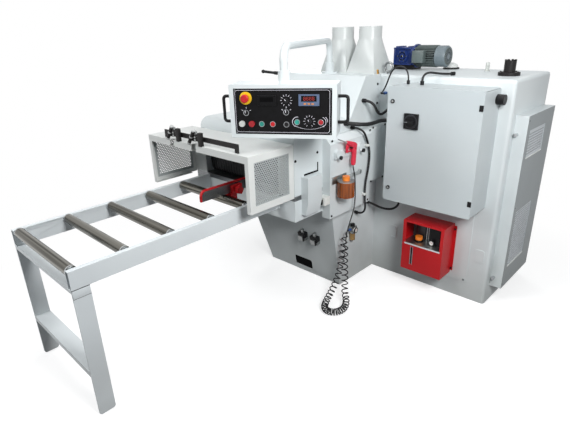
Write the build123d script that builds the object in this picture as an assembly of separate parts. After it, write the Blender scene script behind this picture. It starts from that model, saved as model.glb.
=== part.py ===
"""Multi-rip saw with an infeed roller table, tunnel hood, swinging control pendant and side motor housing."""
from build123d import *
import math
import os

# Driving dimensions in millimetres. X runs across the feed, Y along the feed, Z up from the floor.
# The arbor lies over Y = 0 and the middle of the roller table over X = 0.
fit_gap = 0.05          # radial clearance of turning and sliding fits
clear = 0.3             # clearance between neighbouring pieces that move apart

# Feed line and machine body
bed_top = 830.0
bed_thickness = 30.0
bed_left_x = -495.0
outfeed_lip = 80.0
front_y = -1040.0
rear_y = 480.0
left_x = -400.0
right_x = 505.0

# Base
base_top_z = 660.0
base_foot_left_x = -203.0
base_foot_front_y = -568.0
base_flare = 177.0
base_lean = 112.0
base_wall = 10.0
base_hole_x = 160.0
base_hole_z = 83.0
base_hole_width = 175.0
base_hole_height = 80.0
base_hole_radius = 14.0

# Housing over the feed path and saw head above it
housing_top_z = 1232.0
housing_round = 70.0
housing_wall = 6.0
mouth_top_z = 1100.0
outlet_half_width = 340.0
outlet_top_z = 980.0
head_left_x = -190.0
head_foot_front_y = -478.0
head_roof_front_y = -318.0
roof_z = 1486.0

# Dust hoods
hood_pitch = 240.0
hood_right_x = 480.0
hood_front_y = -180.0
hood_depth = 230.0
hood_outlet_radius = 80.0
hood_outlet_length = 76.0
hood_top_z = 1795.0
hood_wall = 3.0
hood_duct_margin = 30.0

# Motor housing, its side cover and access plate
motor_house_right_x = 1405.0
motor_house_front_y = -138.0
motor_house_wall = 5.0
motor_house_round = 22.0
cover_depth = 75.0
cover_front_y = -65.0
cover_back_y = 440.0
cover_bottom_z = 120.0
cover_top_z = 1278.0
cover_wall = 3.0
cover_window_front = 55.0
cover_window_length = 295.0
cover_upper_window_z = (1011.0, 1186.0)
cover_lower_window_z = (265.0, 660.0)
thumb_screw_z = (189.0, 1164.0)
thumb_screw_radius = 11.0
access_plate_x = (760.0, 1270.0)
access_plate_z = (121.0, 640.0)
plate_thickness = 4.0
plug_x = (681.0, 1337.0)
plug_z = 346.0
plug_width = 62.0
plug_height = 92.0
vent_x = 1272.0
vent_y = 105.0
vent_flange_radius = 64.0
vent_flange_height = 20.0
vent_radius = 34.0
vent_height = 86.0
vent_wall = 5.0
eye_x = 545.0
eye_y = -100.0
eye_radius = 30.0
eye_wire = 7.0
eye_shank = 14.0

# Covers on the outboard side
side_cover_depth = 65.0
side_cover_front_y = -775.0
side_cover_split_y = -323.0
side_cover_bottom_z = 616.0
side_cover_top_z = 1155.0
side_cover_bevel = 40.0
rear_cover_bottom_z = 745.0
rear_cover_top_z = 1166.0
rear_cover_round = 30.0
drive_cover_front_y = -980.0
drive_cover_length = 136.0
drive_cover_depth = 55.0
drive_cover_bottom_z = 697.0
drive_cover_top_z = 945.0
clamp_bar_front_y = -742.0
clamp_bar_length = 300.0
clamp_bar_z = 1038.0
clamp_bar_height = 42.0
clamp_bar_depth = 18.0
clamp_boss_radius = 27.0
clamp_knob_radius = 10.0
switch_box_size = 56.0
switch_box_z = 752.0

# Infeed roller table
table_length = 1340.0
table_half_width = 370.0
rail_width = 30.0
rail_height = 95.0
rail_wall = 3.0
rail_drop = 8.0
roller_count = 5
roller_pitch = 265.0
roller_first = 30.0
roller_radius = 28.0
roller_proud = 2.0
roller_wall = 3.0
roller_cap = 12.0
roller_end_gap = 6.0
axle_radius = 7.5
leg_width = 85.0
leg_thickness = 10.0
beam_height = 20.0
beam_wall = 5.0
low_bar_z = 265.0
low_bar_height = 30.0

# Tunnel hood over the table
tunnel_half_width = 501.5
tunnel_depth = 362.0
tunnel_bottom_z = 821.0
tunnel_top_z = 1158.0
tunnel_sheet = 3.0
tunnel_band = 42.0
tunnel_lip = 30.0
mesh_thickness = 1.5
mesh_lap = 12.0
notch_width = 48.0
notch_depth = 20.0

# Line lasers on their bar
laser_bar_x = (-330.0, 400.0)
laser_bar_y = -1375.0
laser_bar_height = 30.0
laser_bar_thickness = 8.0
laser_bar_lift = 22.0
laser_x = (-222.0, 8.0)
laser_clamp_width = 44.0
laser_clamp_wall = 8.0
laser_clamp_front = 20.0
laser_radius = 11.0
laser_length = 108.0
laser_tilt = 36.0

# Fence
fence_x = 130.0
fence_front = 435.0
fence_back = 20.0
fence_height = 72.0
fence_lift = 4.0
fence_thickness = 12.0
fence_rim = 10.0
fence_rim_proud = 2.0
fence_round = 42.0
fence_bar_radius = 15.0
fence_bar_y = -1235.0
fence_bar_z = 790.0
fence_block_width = 60.0
fence_block_depth = 48.0
fence_bracket_y = (-1245.0, -1165.0)
fence_bracket_height = 52.0
fence_knob_y = -1213.0
fence_knob_lift = 24.0
fence_knob_radius = 28.0
fence_knob_length = 26.0
fence_stem_radius = 6.0
fence_stem_length = 14.0

# Fingers behind the mouth
finger_count = 26
finger_pitch = 28.0
finger_thickness = 24.0
finger_y = -985.0
finger_shaft_z = 1085.0
finger_shaft_radius = 14.0
finger_eye_radius = 26.0
finger_tip_gap = 12.0

# Arbor, blades and belt drive
blade_radius = 150.0
blade_dip = 5.0
blade_thickness = 3.2
blade_count = 5
blade_pitch = 80.0
blade_teeth = 24
tooth_depth = 12.0
arbor_radius = 30.0
arbor_right_x = 705.0
spacer_radius = 50.0
end_spacer_length = 60.0
arbor_block_length = 50.0
arbor_block_half = 75.0
wall_hole_radius = 40.0
pulley_x = (600.0, 690.0)
arbor_pulley_radius = 70.0
motor_pulley_radius = 100.0
groove_count = 4
groove_depth = 9.0
belt_thickness = 8.0
belt_inset = 5.0
motor_y = 230.0
motor_z = 450.0
motor_x = (760.0, 1190.0)
motor_radius = 150.0
motor_shaft_radius = 24.0
motor_shaft_seat = 60.0
motor_foot_height = 190.0
motor_foot_spread = 130.0
shelf_thickness = 12.0

# Feed rollers
feed_roller_y = -560.0
feed_roller_radius = 60.0
feed_roller_half = 320.0
feed_roller_proud = 2.0
feed_opening = 50.0
journal_radius = 20.0
feed_block_length = 40.0
feed_block_half = 45.0
lower_block_gap = 10.0
lower_block_height = 60.0
roller_window_half = 66.0

# Geared motor on the roof
gear_x = (374.0, 527.0)
gear_y = 300.0
gear_z = 1580.0
gear_half_depth = 60.0
gear_half_height = 62.0
gear_flange_radius = 83.0
gear_flange_length = 14.0
gear_motor_radius = 69.0
gear_motor_length = 164.0
fan_cover_radius = 71.0
fan_cover_length = 74.0
terminal_box = (82.0, 40.0, 78.0)

# Control pendant
arm_foot_x = 142.0
arm_foot_y = -250.0
swivel_x = 588.0
swivel_y = -1192.0
arm_tube_radius = 21.5
arm_tube_wall = 3.0
arm_top_z = 1712.0
arm_bend = 80.0
socket_wall = 9.0
socket_height = 75.0
socket_flange_radius = 58.0
socket_flange_height = 12.0
collar_height = 62.0
box_width = 570.0
box_depth = 190.0
box_forward = 70.0
box_height = 278.0
box_mid_z = 1391.0
box_turn = 31.5
box_wall = 3.0
panel_width = 522.0
panel_height = 238.0
panel_recess = 6.0
panel_thickness = 3.0
bezel_radius = 15.5
bezel_height = 7.0
button_radius = 11.5
button_stand = 11.0
button_height = 6.0
estop_u = -194.0
estop_v = 70.0
estop_ring_radius = 33.0
estop_ring_height = 8.0
estop_stem_radius = 12.0
estop_head_radius = 21.5
estop_head_stand = 16.0
estop_head_height = 18.0
button_uv = {"green_button_left": (-112.0, -64.0), "red_button_left": (-52.0, -64.0),
             "black_button": (22.0, -65.0), "green_button_right": (79.0, -52.0),
             "red_button_right": (204.0, -52.0)}
selector_uv = {"selector_left": (-195.0, -6.0), "selector_middle": (22.0, -2.0)}
knob_uv = {"speed_knob_upper": (23.0, 58.0), "speed_knob_lower": (143.0, -48.0)}
lamp_uv = ((-221.0, -64.0), (-167.0, -64.0))
lamp_radius = 16.0
lamp_stand = 12.0
knob_radius = 11.0
knob_stand = 17.0
selector_stand = 20.0
selector_grip = 7.0
display_uv = ((-81.0, 58.0), (142.0, 60.0))
display_size = ((102.0, 52.0), (107.0, 58.0))
display_stand = 7.0
handle_back = 60.0
handle_lift = 6.0
handle_height = 134.0
handle_reach = 52.0
handle_radius = 7.0
handle_bend = 16.0

# Electrical cabinet
cabinet_x = (716.0, 1327.0)
cabinet_z = (683.0, 1442.0)
cabinet_depth = 217.0
cabinet_wall = 3.0
cabinet_round = 14.0
door_thickness = 18.0
door_gap = 0.5
door_skin = 3.0
door_rim = 16.0
mount_plate_inset = 40.0
isolator_x = 893.0
isolator_z = 1235.0
isolator_plate = 96.0
isolator_plate_depth = 12.0
isolator_dial_radius = 34.0
isolator_dial_depth = 10.0
isolator_grip_width = 16.0
isolator_grip_depth = 20.0
lock_x = 754.0
lock_z = (775.0, 1349.0)
lock_radius = 13.0
lock_depth = 6.0
hinge_z = (781.0, 1350.0)
hinge_width = 24.0
hinge_height = 34.0
hinge_proud = 3.0

# Lubricator on the access plate
lube_x = (850.0, 1150.0)
lube_z = (165.0, 540.0)
lube_depth = 158.0
lube_wall = 3.0
lube_window_x = (875.0, 1128.0)
lube_window_z = (370.0, 525.0)
lube_tab = 18.0
lube_slot_x = 927.0
lube_slot_z = (215.0, 346.0)
lube_slot_width = 12.0
lube_tray = 6.0
lube_cap_x = 935.0
lube_cap_radius = 24.0
lube_cap_height = 26.0
lube_neck_radius = 27.0
lube_neck_height = 12.0
lube_gauge_x = 1040.0
lube_gauge_radius = 20.0
lube_pump_x = (1010.0, 1090.0)
lube_pump_height = 120.0

# Oil cup, air gun and air units
cup_y = -683.0
cup_reach = 58.0
cup_radius = 55.0
cup_wall = 3.0
cup_bottom_z = 767.0
cup_top_z = 870.0
cup_bracket_thickness = 6.0
cup_cap_radius = 24.0
cup_cap_height = 28.0
gun_x = 606.0
gun_mid_y = -607.0
gun_mid_z = 1094.0
gun_tilt = 22.5
gun_body_radius = 14.0
gun_body_length = 110.0
gun_handle_radius = 13.0
gun_handle_length = 128.0
gun_handle_lean = 5.0
gun_nozzle_radius = 4.0
gun_nozzle_length = 96.0
peg_radius = 5.0
trigger_length = 46.0
trigger_thickness = 5.0
trigger_width = 14.0
regulator_y = -452.0
regulator_z = 398.0
regulator_width = 44.0
regulator_depth = 44.0
regulator_height = 52.0
regulator_bowl_radius = 19.0
regulator_bowl_height = 56.0
regulator_gauge_radius = 20.0
valve_x = (217.0, 335.0)
valve_z = 352.0
valve_width = 62.0
valve_depth = 40.0
valve_height = 58.0

# Coiled air hose: the middle of its curls from the air units to the floor and back up, and the pitch there
hose_radius = 4.0
hose_sides = 5
hose_end = 10.0
curl_radius = 21.0
curl_lead = 75.0
curl_route = [(545.0, -535.0, 444.0), (546.0, -566.0, 418.0), (549.0, -592.0, 350.0), (556.0, -624.0, 233.0),
              (572.0, -678.0, 139.0), (592.0, -770.0, 80.0), (606.0, -850.0, 42.0), (628.0, -905.0, 27.0),
              (672.0, -930.0, 25.6), (718.0, -914.0, 25.6), (744.0, -868.0, 25.8), (738.0, -810.0, 28.0),
              (704.0, -752.0, 38.0), (658.0, -712.0, 62.0), (634.0, -680.0, 110.0), (628.0, -672.0, 165.0),
              (620.0, -668.0, 240.0), (608.0, -655.0, 330.0), (600.0, -635.0, 430.0)]
curl_pitch = [44.0, 46.0, 46.0, 44.0, 40.0, 32.0, 24.0, 18.0, 16.5, 16.5, 18.0, 23.0, 30.0, 36.0, 38.0, 40.0,
              44.0, 46.0, 46.0]
hose_route = [(600.0, -606.0, 520.0), (604.0, -566.0, 600.0), (606.0, -546.0, 670.0), (606.0, -545.0, 760.0),
              (606.0, -552.0, 860.0)]

# Cables and conduits: each runs from gland to gland through its corner points
conduit_radius = 13.0
head_cable_radius = 9.0
side_cable_radius = 7.0
loop_cable_radius = 5.0
roof_cable_radius = 7.0
low_cable_radius = 8.0
gland_margin = 5.0
gland_length = 24.0
side_gland_radius = 30.0
side_gland_length = 46.0
side_gland_y = -190.0
side_gland_z = 1380.0
top_gland_x = (782.0, 878.0)
conduit_start = (right_x, -540.0, 1210.0)
conduit_end = (cabinet_x[0], -250.0, 1200.0)
conduit_corners = [(600.0, -540.0, 1210.0), (612.0, -400.0, 1190.0), (612.0, -250.0, 1200.0)]
head_cable_start = (right_x, -345.0, 1330.0)
head_cable_end = (cabinet_x[0], -190.0, 1300.0)
head_cable_corners = [(590.0, -345.0, 1330.0), (600.0, -280.0, 1262.0), (620.0, -190.0, 1300.0)]
side_cable_start = (right_x, -470.0, 1170.0)
side_cable_end = (right_x, -400.0, 540.0)
side_cable_corners = [(600.0, -470.0, 1170.0), (590.0, -400.0, 1080.0), (586.0, -356.0, 990.0),
                      (586.0, -372.0, 880.0), (586.0, -412.0, 780.0), (588.0, -428.0, 690.0),
                      (598.0, -400.0, 540.0)]
loop_cable_end = (555.0, motor_house_front_y, 1362.0)
loop_cable_corners = [(778.0, -246.5, 1545.0), (662.0, -240.0, 1552.0), (598.0, -228.0, 1392.0),
                      (555.0, -222.0, 1362.0)]
roof_cable_end = (985.0, -31.0)
roof_cable_facing = (-0.5, -math.sqrt(0.75), 0.0)
roof_cable_corners = [(878.0, -246.5, 1524.0), (943.0, -104.0, 1498.0)]
low_cable_start = (right_x, -262.0, 580.0)
low_cable_end = (752.0, -200.0, cabinet_z[0])
low_cable_corners = [(570.0, -262.0, 576.0), (612.0, -206.0, 534.0), (700.0, -200.0, 544.0),
                     (752.0, -200.0, 600.0)]

# Values that follow from the driving ones
bed_under = bed_top - bed_thickness
arbor_z = bed_top + blade_radius - blade_dip
rail_top = bed_top - rail_drop
rail_bottom = rail_top - rail_height
rail_inner_x = table_half_width - rail_width
table_front_y = front_y - table_length
roller_z = bed_top + roller_proud - roller_radius
inner_left_x = left_x + housing_wall
inner_right_x = right_x - housing_wall
tunnel_front_y = front_y - tunnel_depth
side_face_x = right_x + side_cover_depth
cabinet_front_y = motor_house_front_y - cabinet_depth
door_front_y = cabinet_front_y - door_gap - door_thickness
lube_front_y = motor_house_front_y - plate_thickness - lube_depth
laser_bar_z = tunnel_top_z + laser_bar_lift
lean_angle = math.degrees(math.atan2(base_lean, base_top_z))
roller_ys = [table_front_y + roller_first + i * roller_pitch for i in range(roller_count)]
upper_roller_z = bed_top + feed_opening + feed_roller_radius
lower_roller_z = bed_top + feed_roller_proud - feed_roller_radius
lower_block_inset = feed_roller_half + lower_block_gap
mouth_half_width = table_half_width


# Helpers

def block(x0, x1, y0, y1, z0, z1):
    """Box between two corners."""
    return Pos((x0 + x1) / 2, (y0 + y1) / 2, (z0 + z1) / 2) * Box(x1 - x0, y1 - y0, z1 - z0)


def rod_x(x0, x1, y, z, radius):
    """Cylinder along X."""
    return Pos((x0 + x1) / 2, y, z) * Rot(0, 90, 0) * Cylinder(radius, x1 - x0)


def rod_y(x, y0, y1, z, radius):
    """Cylinder along Y."""
    return Pos(x, (y0 + y1) / 2, z) * Rot(90, 0, 0) * Cylinder(radius, y1 - y0)


def rod_z(x, y, z0, z1, radius):
    """Cylinder along Z."""
    return Pos(x, y, (z0 + z1) / 2) * Cylinder(radius, z1 - z0)


def prism_x(outline, x0, x1):
    """Outline of (y, z) points drawn out along X."""
    face = make_face(Polyline(*[(x0, y, z) for y, z in outline], close=True))
    return extrude(face, amount=x1 - x0, dir=(1, 0, 0))


def prism_y(outline, y0, y1):
    """Outline of (x, z) points drawn out along Y."""
    face = make_face(Polyline(*[(x, y0, z) for x, z in outline], close=True))
    return extrude(face, amount=y1 - y0, dir=(0, 1, 0))


def tapered_box(bottom, top, z0, z1):
    """Straight-sided body between two rectangles, each given as (x0, x1, y0, y1)."""
    faces = []
    for (x0, x1, y0, y1), z in ((bottom, z0), (top, z1)):
        rectangle = Rectangle(x1 - x0, y1 - y0)
        faces.append(Pos((x0 + x1) / 2, (y0 + y1) / 2, z) * rectangle)
    return loft(faces, ruled=True)


def tube_along(path, radius):
    """Round tube swept along a path."""
    start = Plane(origin=path @ 0, z_dir=path % 0)
    return sweep(start * Circle(radius), path=path)


def bent_path(points, radii):
    """Straight runs joined by tangent arcs."""
    return FilletPolyline(*points, radius=radii)


def run_radii(points):
    """Largest arc radius that each corner of a cable leaves room for."""
    radii = []
    for before, here, after in zip(points, points[1:], points[2:]):
        run_in = here - before
        run_out = after - here
        half_turn = math.radians(run_in.get_angle(run_out)) / 2
        radii.append(0.45 * min(run_in.length, run_out.length) / math.tan(half_turn))
    return radii


def save(name, *solids):
    """Write one named piece."""
    shape = solids[0] if len(solids) == 1 else Compound(children=[Part() + s for s in solids])
    export_step(shape, os.path.join("parts", name + ".step"))


# Base, bed and housings

def base_frame():
    foot = (base_foot_left_x, right_x, base_foot_front_y, rear_y)
    deck = (base_foot_left_x - base_flare, right_x, base_foot_front_y - base_lean, rear_y)
    wall = base_wall
    foot_in = (foot[0] + wall, foot[1] - wall, foot[2] + wall, foot[3] - wall)
    deck_in = (deck[0] + wall, deck[1] - wall, deck[2] + wall, deck[3] - wall)
    frame = tapered_box(foot, deck, 0, base_top_z)
    frame += block(bed_left_x, right_x, front_y, rear_y, base_top_z, bed_under)
    frame -= tapered_box(foot_in, deck_in, wall, base_top_z - wall)
    frame -= block(bed_left_x + wall, right_x - wall, front_y + wall, rear_y - wall,
                   base_top_z + wall, bed_under)
    lean_front = (base_hole_x, base_foot_front_y - base_lean, base_hole_z)
    opening = Plane(origin=lean_front, x_dir=(1, 0, 0), z_dir=(0, 1, 0))
    hole = opening * RectangleRounded(base_hole_width, base_hole_height, base_hole_radius)
    return frame - extrude(hole, amount=base_lean + 2 * wall)


def machine_bed():
    plate = block(bed_left_x, right_x, front_y, rear_y + outfeed_lip, bed_under, bed_top)
    plate -= block(-feed_roller_half - 2 * clear, feed_roller_half + 2 * clear,
                   feed_roller_y - roller_window_half, feed_roller_y + roller_window_half, bed_under, bed_top)
    pocket_half = blade_pitch * (blade_count - 1) / 2 + spacer_radius / 2
    pocket_reach = blade_radius / 2
    pocket_z = bed_top - 2 * blade_dip
    return plate - block(-pocket_half, pocket_half, -pocket_reach, pocket_reach, pocket_z, bed_top)


def front_corner(front, top, radius):
    """Quarter arc of a rounded front top corner in side view."""
    reach = radius * (1 - math.sqrt(0.5))
    return ThreePointArc((0, front, top - radius), (0, front + reach, top - reach), (0, front + radius, top))


def housing_outline(front, back, bottom, top, round_radius):
    """Side view of the housing: upright front, rounded front top edge, flat roof."""
    lines = Polyline((0, front + round_radius, top), (0, back, top), (0, back, bottom), (0, front, bottom),
                     (0, front, top - round_radius))
    return make_face([lines, front_corner(front, top, round_radius)])


def main_housing():
    wall = housing_wall
    outer = housing_outline(front_y, rear_y, bed_top, housing_top_z, housing_round)
    inner = housing_outline(front_y + wall, rear_y - wall, bed_top, housing_top_z - wall, housing_round - wall)
    shell = extrude(Pos(left_x, 0, 0) * outer, amount=right_x - left_x, dir=(1, 0, 0))
    shell -= extrude(Pos(inner_left_x, 0, 0) * inner, amount=inner_right_x - inner_left_x, dir=(1, 0, 0))
    shell -= block(-mouth_half_width, mouth_half_width, front_y, front_y + wall, bed_top, mouth_top_z)
    shell -= block(-outlet_half_width, outlet_half_width, rear_y - wall, rear_y, bed_top, outlet_top_z)
    shell -= block(head_left_x + 2 * wall, right_x - 4 * wall, hood_front_y, rear_y - 4 * wall,
                   housing_top_z - wall, housing_top_z)
    return shell - rod_x(inner_right_x, right_x, 0, arbor_z, wall_hole_radius)


def hood_middles():
    """Middle of the left and right dust hood on the roof."""
    y = hood_front_y + hood_depth / 2
    return [(hood_right_x - hood_pitch * 1.5, y), (hood_right_x - hood_pitch / 2, y)]


def saw_head():
    wall = housing_wall
    outline = [(head_foot_front_y, housing_top_z), (head_roof_front_y, roof_z), (rear_y, roof_z),
               (rear_y, housing_top_z)]
    inner = [(head_foot_front_y + 2 * wall, housing_top_z), (head_roof_front_y + wall, roof_z - wall),
             (rear_y - wall, roof_z - wall), (rear_y - wall, housing_top_z)]
    shell = prism_x(outline, head_left_x, right_x) - prism_x(inner, head_left_x + wall, inner_right_x)
    half_x = hood_pitch / 2 - hood_duct_margin
    half_y = hood_depth / 2 - hood_duct_margin
    for x, y in hood_middles():
        shell -= block(x - half_x, x + half_x, y - half_y, y + half_y, roof_z - wall, roof_z)
    socket = rod_z(arm_foot_x, arm_foot_y, roof_z, roof_z + socket_flange_height, socket_flange_radius)
    socket += rod_z(arm_foot_x, arm_foot_y, roof_z, roof_z + socket_height, arm_tube_radius + socket_wall)
    socket -= rod_z(arm_foot_x, arm_foot_y, roof_z + socket_flange_height, roof_z + socket_height,
                    arm_tube_radius + fit_gap)
    return shell + socket


def dust_hoods():
    hoods = []
    neck_z = hood_top_z - hood_outlet_length
    for x, y in hood_middles():
        shapes = []
        for shrink in (0, hood_wall):
            foot = Rectangle(hood_pitch - 2 * shrink, hood_depth - 2 * shrink)
            neck = Circle(hood_outlet_radius - shrink)
            funnel = loft([Pos(x, y, roof_z) * foot, Pos(x, y, neck_z) * neck], ruled=True)
            shapes.append(funnel + rod_z(x, y, neck_z, hood_top_z, hood_outlet_radius - shrink))
        hoods.append(shapes[0] - shapes[1])
    return hoods


def motor_housing():
    wall = motor_house_wall
    right, front = motor_house_right_x, motor_house_front_y
    house = block(right_x, right, front, rear_y, 0, roof_z)
    rounded = [e for e in house.edges() if e.center().Z > roof_z - 1 and e.center().Y < rear_y - 1
               and e.center().X > right_x + 1]
    rounded += [e for e in house.edges().filter_by(Axis.Z)
                if e.center().X > right - 1 and e.center().Y < front + 1]
    house = fillet(rounded, motor_house_round)
    house -= block(right_x + wall, right - wall, front + wall, rear_y - wall, 0, roof_z - wall)
    house -= rod_x(right_x, right_x + wall, 0, arbor_z, wall_hole_radius)
    lap = 4 * cover_wall
    house -= block(right - wall, right, cover_front_y + lap, cover_back_y - lap,
                   cover_bottom_z + lap, cover_top_z - lap)
    shelf_z = motor_z - motor_foot_height
    return house + block(motor_x[0], motor_x[1], motor_y - 1.2 * motor_radius, rear_y - wall,
                         shelf_z - shelf_thickness, shelf_z)


def roof_vent():
    vent = rod_z(vent_x, vent_y, roof_z, roof_z + vent_flange_height, vent_flange_radius)
    vent += rod_z(vent_x, vent_y, roof_z, roof_z + vent_height, vent_radius)
    return vent - rod_z(vent_x, vent_y, roof_z + vent_flange_height, roof_z + vent_height,
                        vent_radius - vent_wall)


def lifting_eye():
    ring_z = roof_z + eye_shank + eye_radius
    ring = Pos(eye_x, eye_y, ring_z) * Rot(90, 0, 0) * Torus(eye_radius, eye_wire)
    return ring + rod_z(eye_x, eye_y, roof_z, ring_z - eye_radius, 2 * eye_wire)


def motor_side_cover():
    inside, outside = motor_house_right_x, motor_house_right_x + cover_depth
    cover = block(inside, outside, cover_front_y, cover_back_y, cover_bottom_z, cover_top_z)
    cover -= block(inside, outside - cover_wall, cover_front_y + cover_wall, cover_back_y - cover_wall,
                   cover_bottom_z + cover_wall, cover_top_z - cover_wall)
    window_y = cover_front_y + cover_window_front
    for z0, z1 in (cover_upper_window_z, cover_lower_window_z):
        cover -= block(outside - cover_wall, outside, window_y, window_y + cover_window_length, z0, z1)
    return cover


def cover_meshes():
    """Perforated sheets behind the two windows of the side cover."""
    back = motor_house_right_x + cover_depth - cover_wall
    window_y = cover_front_y + cover_window_front
    sheets = []
    for z0, z1 in (cover_upper_window_z, cover_lower_window_z):
        sheets.append(block(back - mesh_thickness, back, window_y - mesh_lap,
                            window_y + cover_window_length + mesh_lap, z0 - mesh_lap, z1 + mesh_lap))
    return sheets


def thumb_screws():
    x = motor_house_right_x + cover_depth / 4
    return [rod_y(x, cover_front_y - 2 * thumb_screw_radius, cover_front_y, z, thumb_screw_radius)
            for z in thumb_screw_z]


def access_plate():
    y0 = motor_house_front_y - plate_thickness
    plate = block(*access_plate_x, y0, motor_house_front_y, *access_plate_z)
    face = Plane(origin=(0, motor_house_front_y, 0), x_dir=(1, 0, 0), z_dir=(0, -1, 0))
    outline = RectangleRounded(plug_width, plug_height, plug_width / 4)
    plugs = [extrude(face * Pos(x, plug_z) * outline, amount=plate_thickness) for x in plug_x]
    return [plate] + plugs


# Covers, clamp bar and limit switch on the outboard side

def side_cover_front():
    wall = cover_wall
    y0, y1 = side_cover_front_y, side_cover_split_y
    shapes = []
    for inset in (0, wall):
        face = side_face_x - inset
        low, high = side_cover_bottom_z + inset, side_cover_top_z - inset
        bevel = side_cover_bevel
        outline = [(right_x, low), (face, low), (face, high - bevel), (face - bevel, high), (right_x, high)]
        shapes.append(prism_y(outline, y0 + inset, y1 - inset))
    return shapes[0] - shapes[1]


def side_cover_rear():
    wall = cover_wall
    y0, y1 = side_cover_split_y, motor_house_front_y
    shapes = []
    for inset in (0, wall):
        cover = block(right_x, side_face_x - inset, y0 + inset, y1 - inset, rear_cover_bottom_z + inset,
                      rear_cover_top_z - inset)
        edges = [e for e in cover.edges().filter_by(Axis.Y) if e.center().X > right_x + 1]
        shapes.append(fillet(edges, rear_cover_round - inset))
    return shapes[0] - shapes[1]


def drive_cover():
    wall = cover_wall
    y0, y1 = drive_cover_front_y, drive_cover_front_y + drive_cover_length
    third = (drive_cover_top_z - drive_cover_bottom_z) / 3
    shapes = []
    for inset in (0, wall):
        face = right_x + drive_cover_depth - inset
        low, high = drive_cover_bottom_z + inset, drive_cover_top_z - inset
        outline = [(right_x, low), (face - drive_cover_depth / 3, low), (face, low + third), (face, high),
                   (right_x, high)]
        shapes.append(prism_y(outline, y0 + inset, y1 - inset))
    return shapes[0] - shapes[1]


def clamp_bar():
    y0, y1 = clamp_bar_front_y, clamp_bar_front_y + clamp_bar_length
    half = clamp_bar_height / 2
    face = side_face_x + clamp_bar_depth
    bar = block(side_face_x, face, y0, y1, clamp_bar_z - half, clamp_bar_z + half)
    for y in (y0 + clamp_boss_radius, y1 - clamp_boss_radius):
        bar += rod_x(side_face_x, face + clamp_bar_depth / 3, y, clamp_bar_z + half / 2, clamp_boss_radius)
        bar += rod_x(face, face + clamp_bar_depth, y, clamp_bar_z - half / 2, clamp_knob_radius)
    return bar


def gun_peg():
    """Peg on the front side cover that the gun's barrel lies on."""
    peg_z = gun_mid_z - (gun_body_radius + peg_radius + clear) / math.cos(math.radians(gun_tilt))
    return rod_x(side_face_x, gun_x + 3 * peg_radius, gun_mid_y, peg_z, peg_radius)


def switch_box():
    y1 = side_cover_front_y
    half = switch_box_size / 2
    return block(side_face_x - switch_box_size, side_face_x, y1 - switch_box_size, y1,
                 switch_box_z - half, switch_box_z + half)


# Infeed roller table

def infeed_rails():
    rails = []
    for side in (-1, 1):
        x0, x1 = sorted((side * rail_inner_x, side * table_half_width))
        rail = block(x0, x1, table_front_y, front_y, rail_bottom, rail_top)
        rail -= block(x0 + rail_wall, x1 - rail_wall, table_front_y, front_y,
                      rail_bottom + rail_wall, rail_top - rail_wall)
        for y in roller_ys:
            hole = sorted((side * rail_inner_x, side * (rail_inner_x + rail_wall)))
            rail -= rod_x(*hole, y, roller_z, axle_radius)
        rails.append(rail)
    return rails


def roller_axles():
    reach = rail_inner_x + 2 * rail_wall
    return [rod_x(-reach, reach, y, roller_z, axle_radius) for y in roller_ys]


def infeed_roller(y):
    half = rail_inner_x - roller_end_gap
    roller = rod_x(-half, half, y, roller_z, roller_radius)
    roller -= rod_x(-half + roller_cap, half - roller_cap, y, roller_z, roller_radius - roller_wall)
    return roller - rod_x(-half, half, y, roller_z, axle_radius + fit_gap)


def channel(x0, x1, y0, y1, z0, z1, wall):
    """Channel along X, open below."""
    return block(x0, x1, y0, y1, z0, z1) - block(x0, x1, y0 + wall, y1 - wall, z0, z1 - wall)


def leg_frame():
    y0, y1 = table_front_y, table_front_y + leg_width
    half = table_half_width
    top = rail_bottom - beam_height
    beam = channel(-half, half, y0, y1, top, rail_bottom, beam_wall)
    legs = channel(-half, half, y0, y1, low_bar_z - low_bar_height, low_bar_z, beam_wall)
    for x in (-half, half - leg_thickness):
        legs += block(x, x + leg_thickness, y0, y1, 0, top)
    return [beam, legs]


# Tunnel hood and lasers

def tunnel_hood():
    half, sheet, lip = tunnel_half_width, tunnel_sheet, tunnel_lip
    y0, y1 = tunnel_front_y, front_y
    z0, z1 = tunnel_bottom_z, tunnel_top_z
    hood = block(-half, half, y0, y1, z1 - sheet, z1)
    hood += block(-half, half, y0, y0 + sheet, z1 - tunnel_band, z1)
    hood += block(-half, half, y0, y0 + lip, z1 - tunnel_band, z1 - tunnel_band + sheet)
    for side in (-1, 1):
        outer, inner = side * half, side * (half - sheet)
        panel = block(*sorted((outer, inner)), y0, y1, z0, z1)
        panel -= block(*sorted((outer, inner)), y0 + tunnel_band, y1 - tunnel_band,
                       z0 + tunnel_band, z1 - tunnel_band)
        lip_x = sorted((outer, side * (half - lip)))
        flange_x = sorted((outer, side * mouth_half_width))
        panel += block(*lip_x, y0, y0 + sheet, z0, z1)
        panel += block(*flange_x, y1 - sheet, y1, bed_top + clear, z1)
        panel += block(*lip_x, y0, y1 - 2 * lip, z0, z0 + sheet)
        hood += panel
    for x in laser_x:
        hood -= block(x - notch_width / 2, x + notch_width / 2, y0, y0 + notch_depth, z1 - tunnel_band, z1)
    return hood


def hood_mesh_panels():
    sheets = []
    y0, y1 = tunnel_front_y + tunnel_band - mesh_lap, front_y - tunnel_band + mesh_lap
    z0, z1 = tunnel_bottom_z + tunnel_band - mesh_lap, tunnel_top_z - tunnel_band + mesh_lap
    for side in (-1, 1):
        face = side * (tunnel_half_width - tunnel_sheet)
        sheets.append(block(*sorted((face, face - side * mesh_thickness)), y0, y1, z0, z1))
    return sheets


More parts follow.
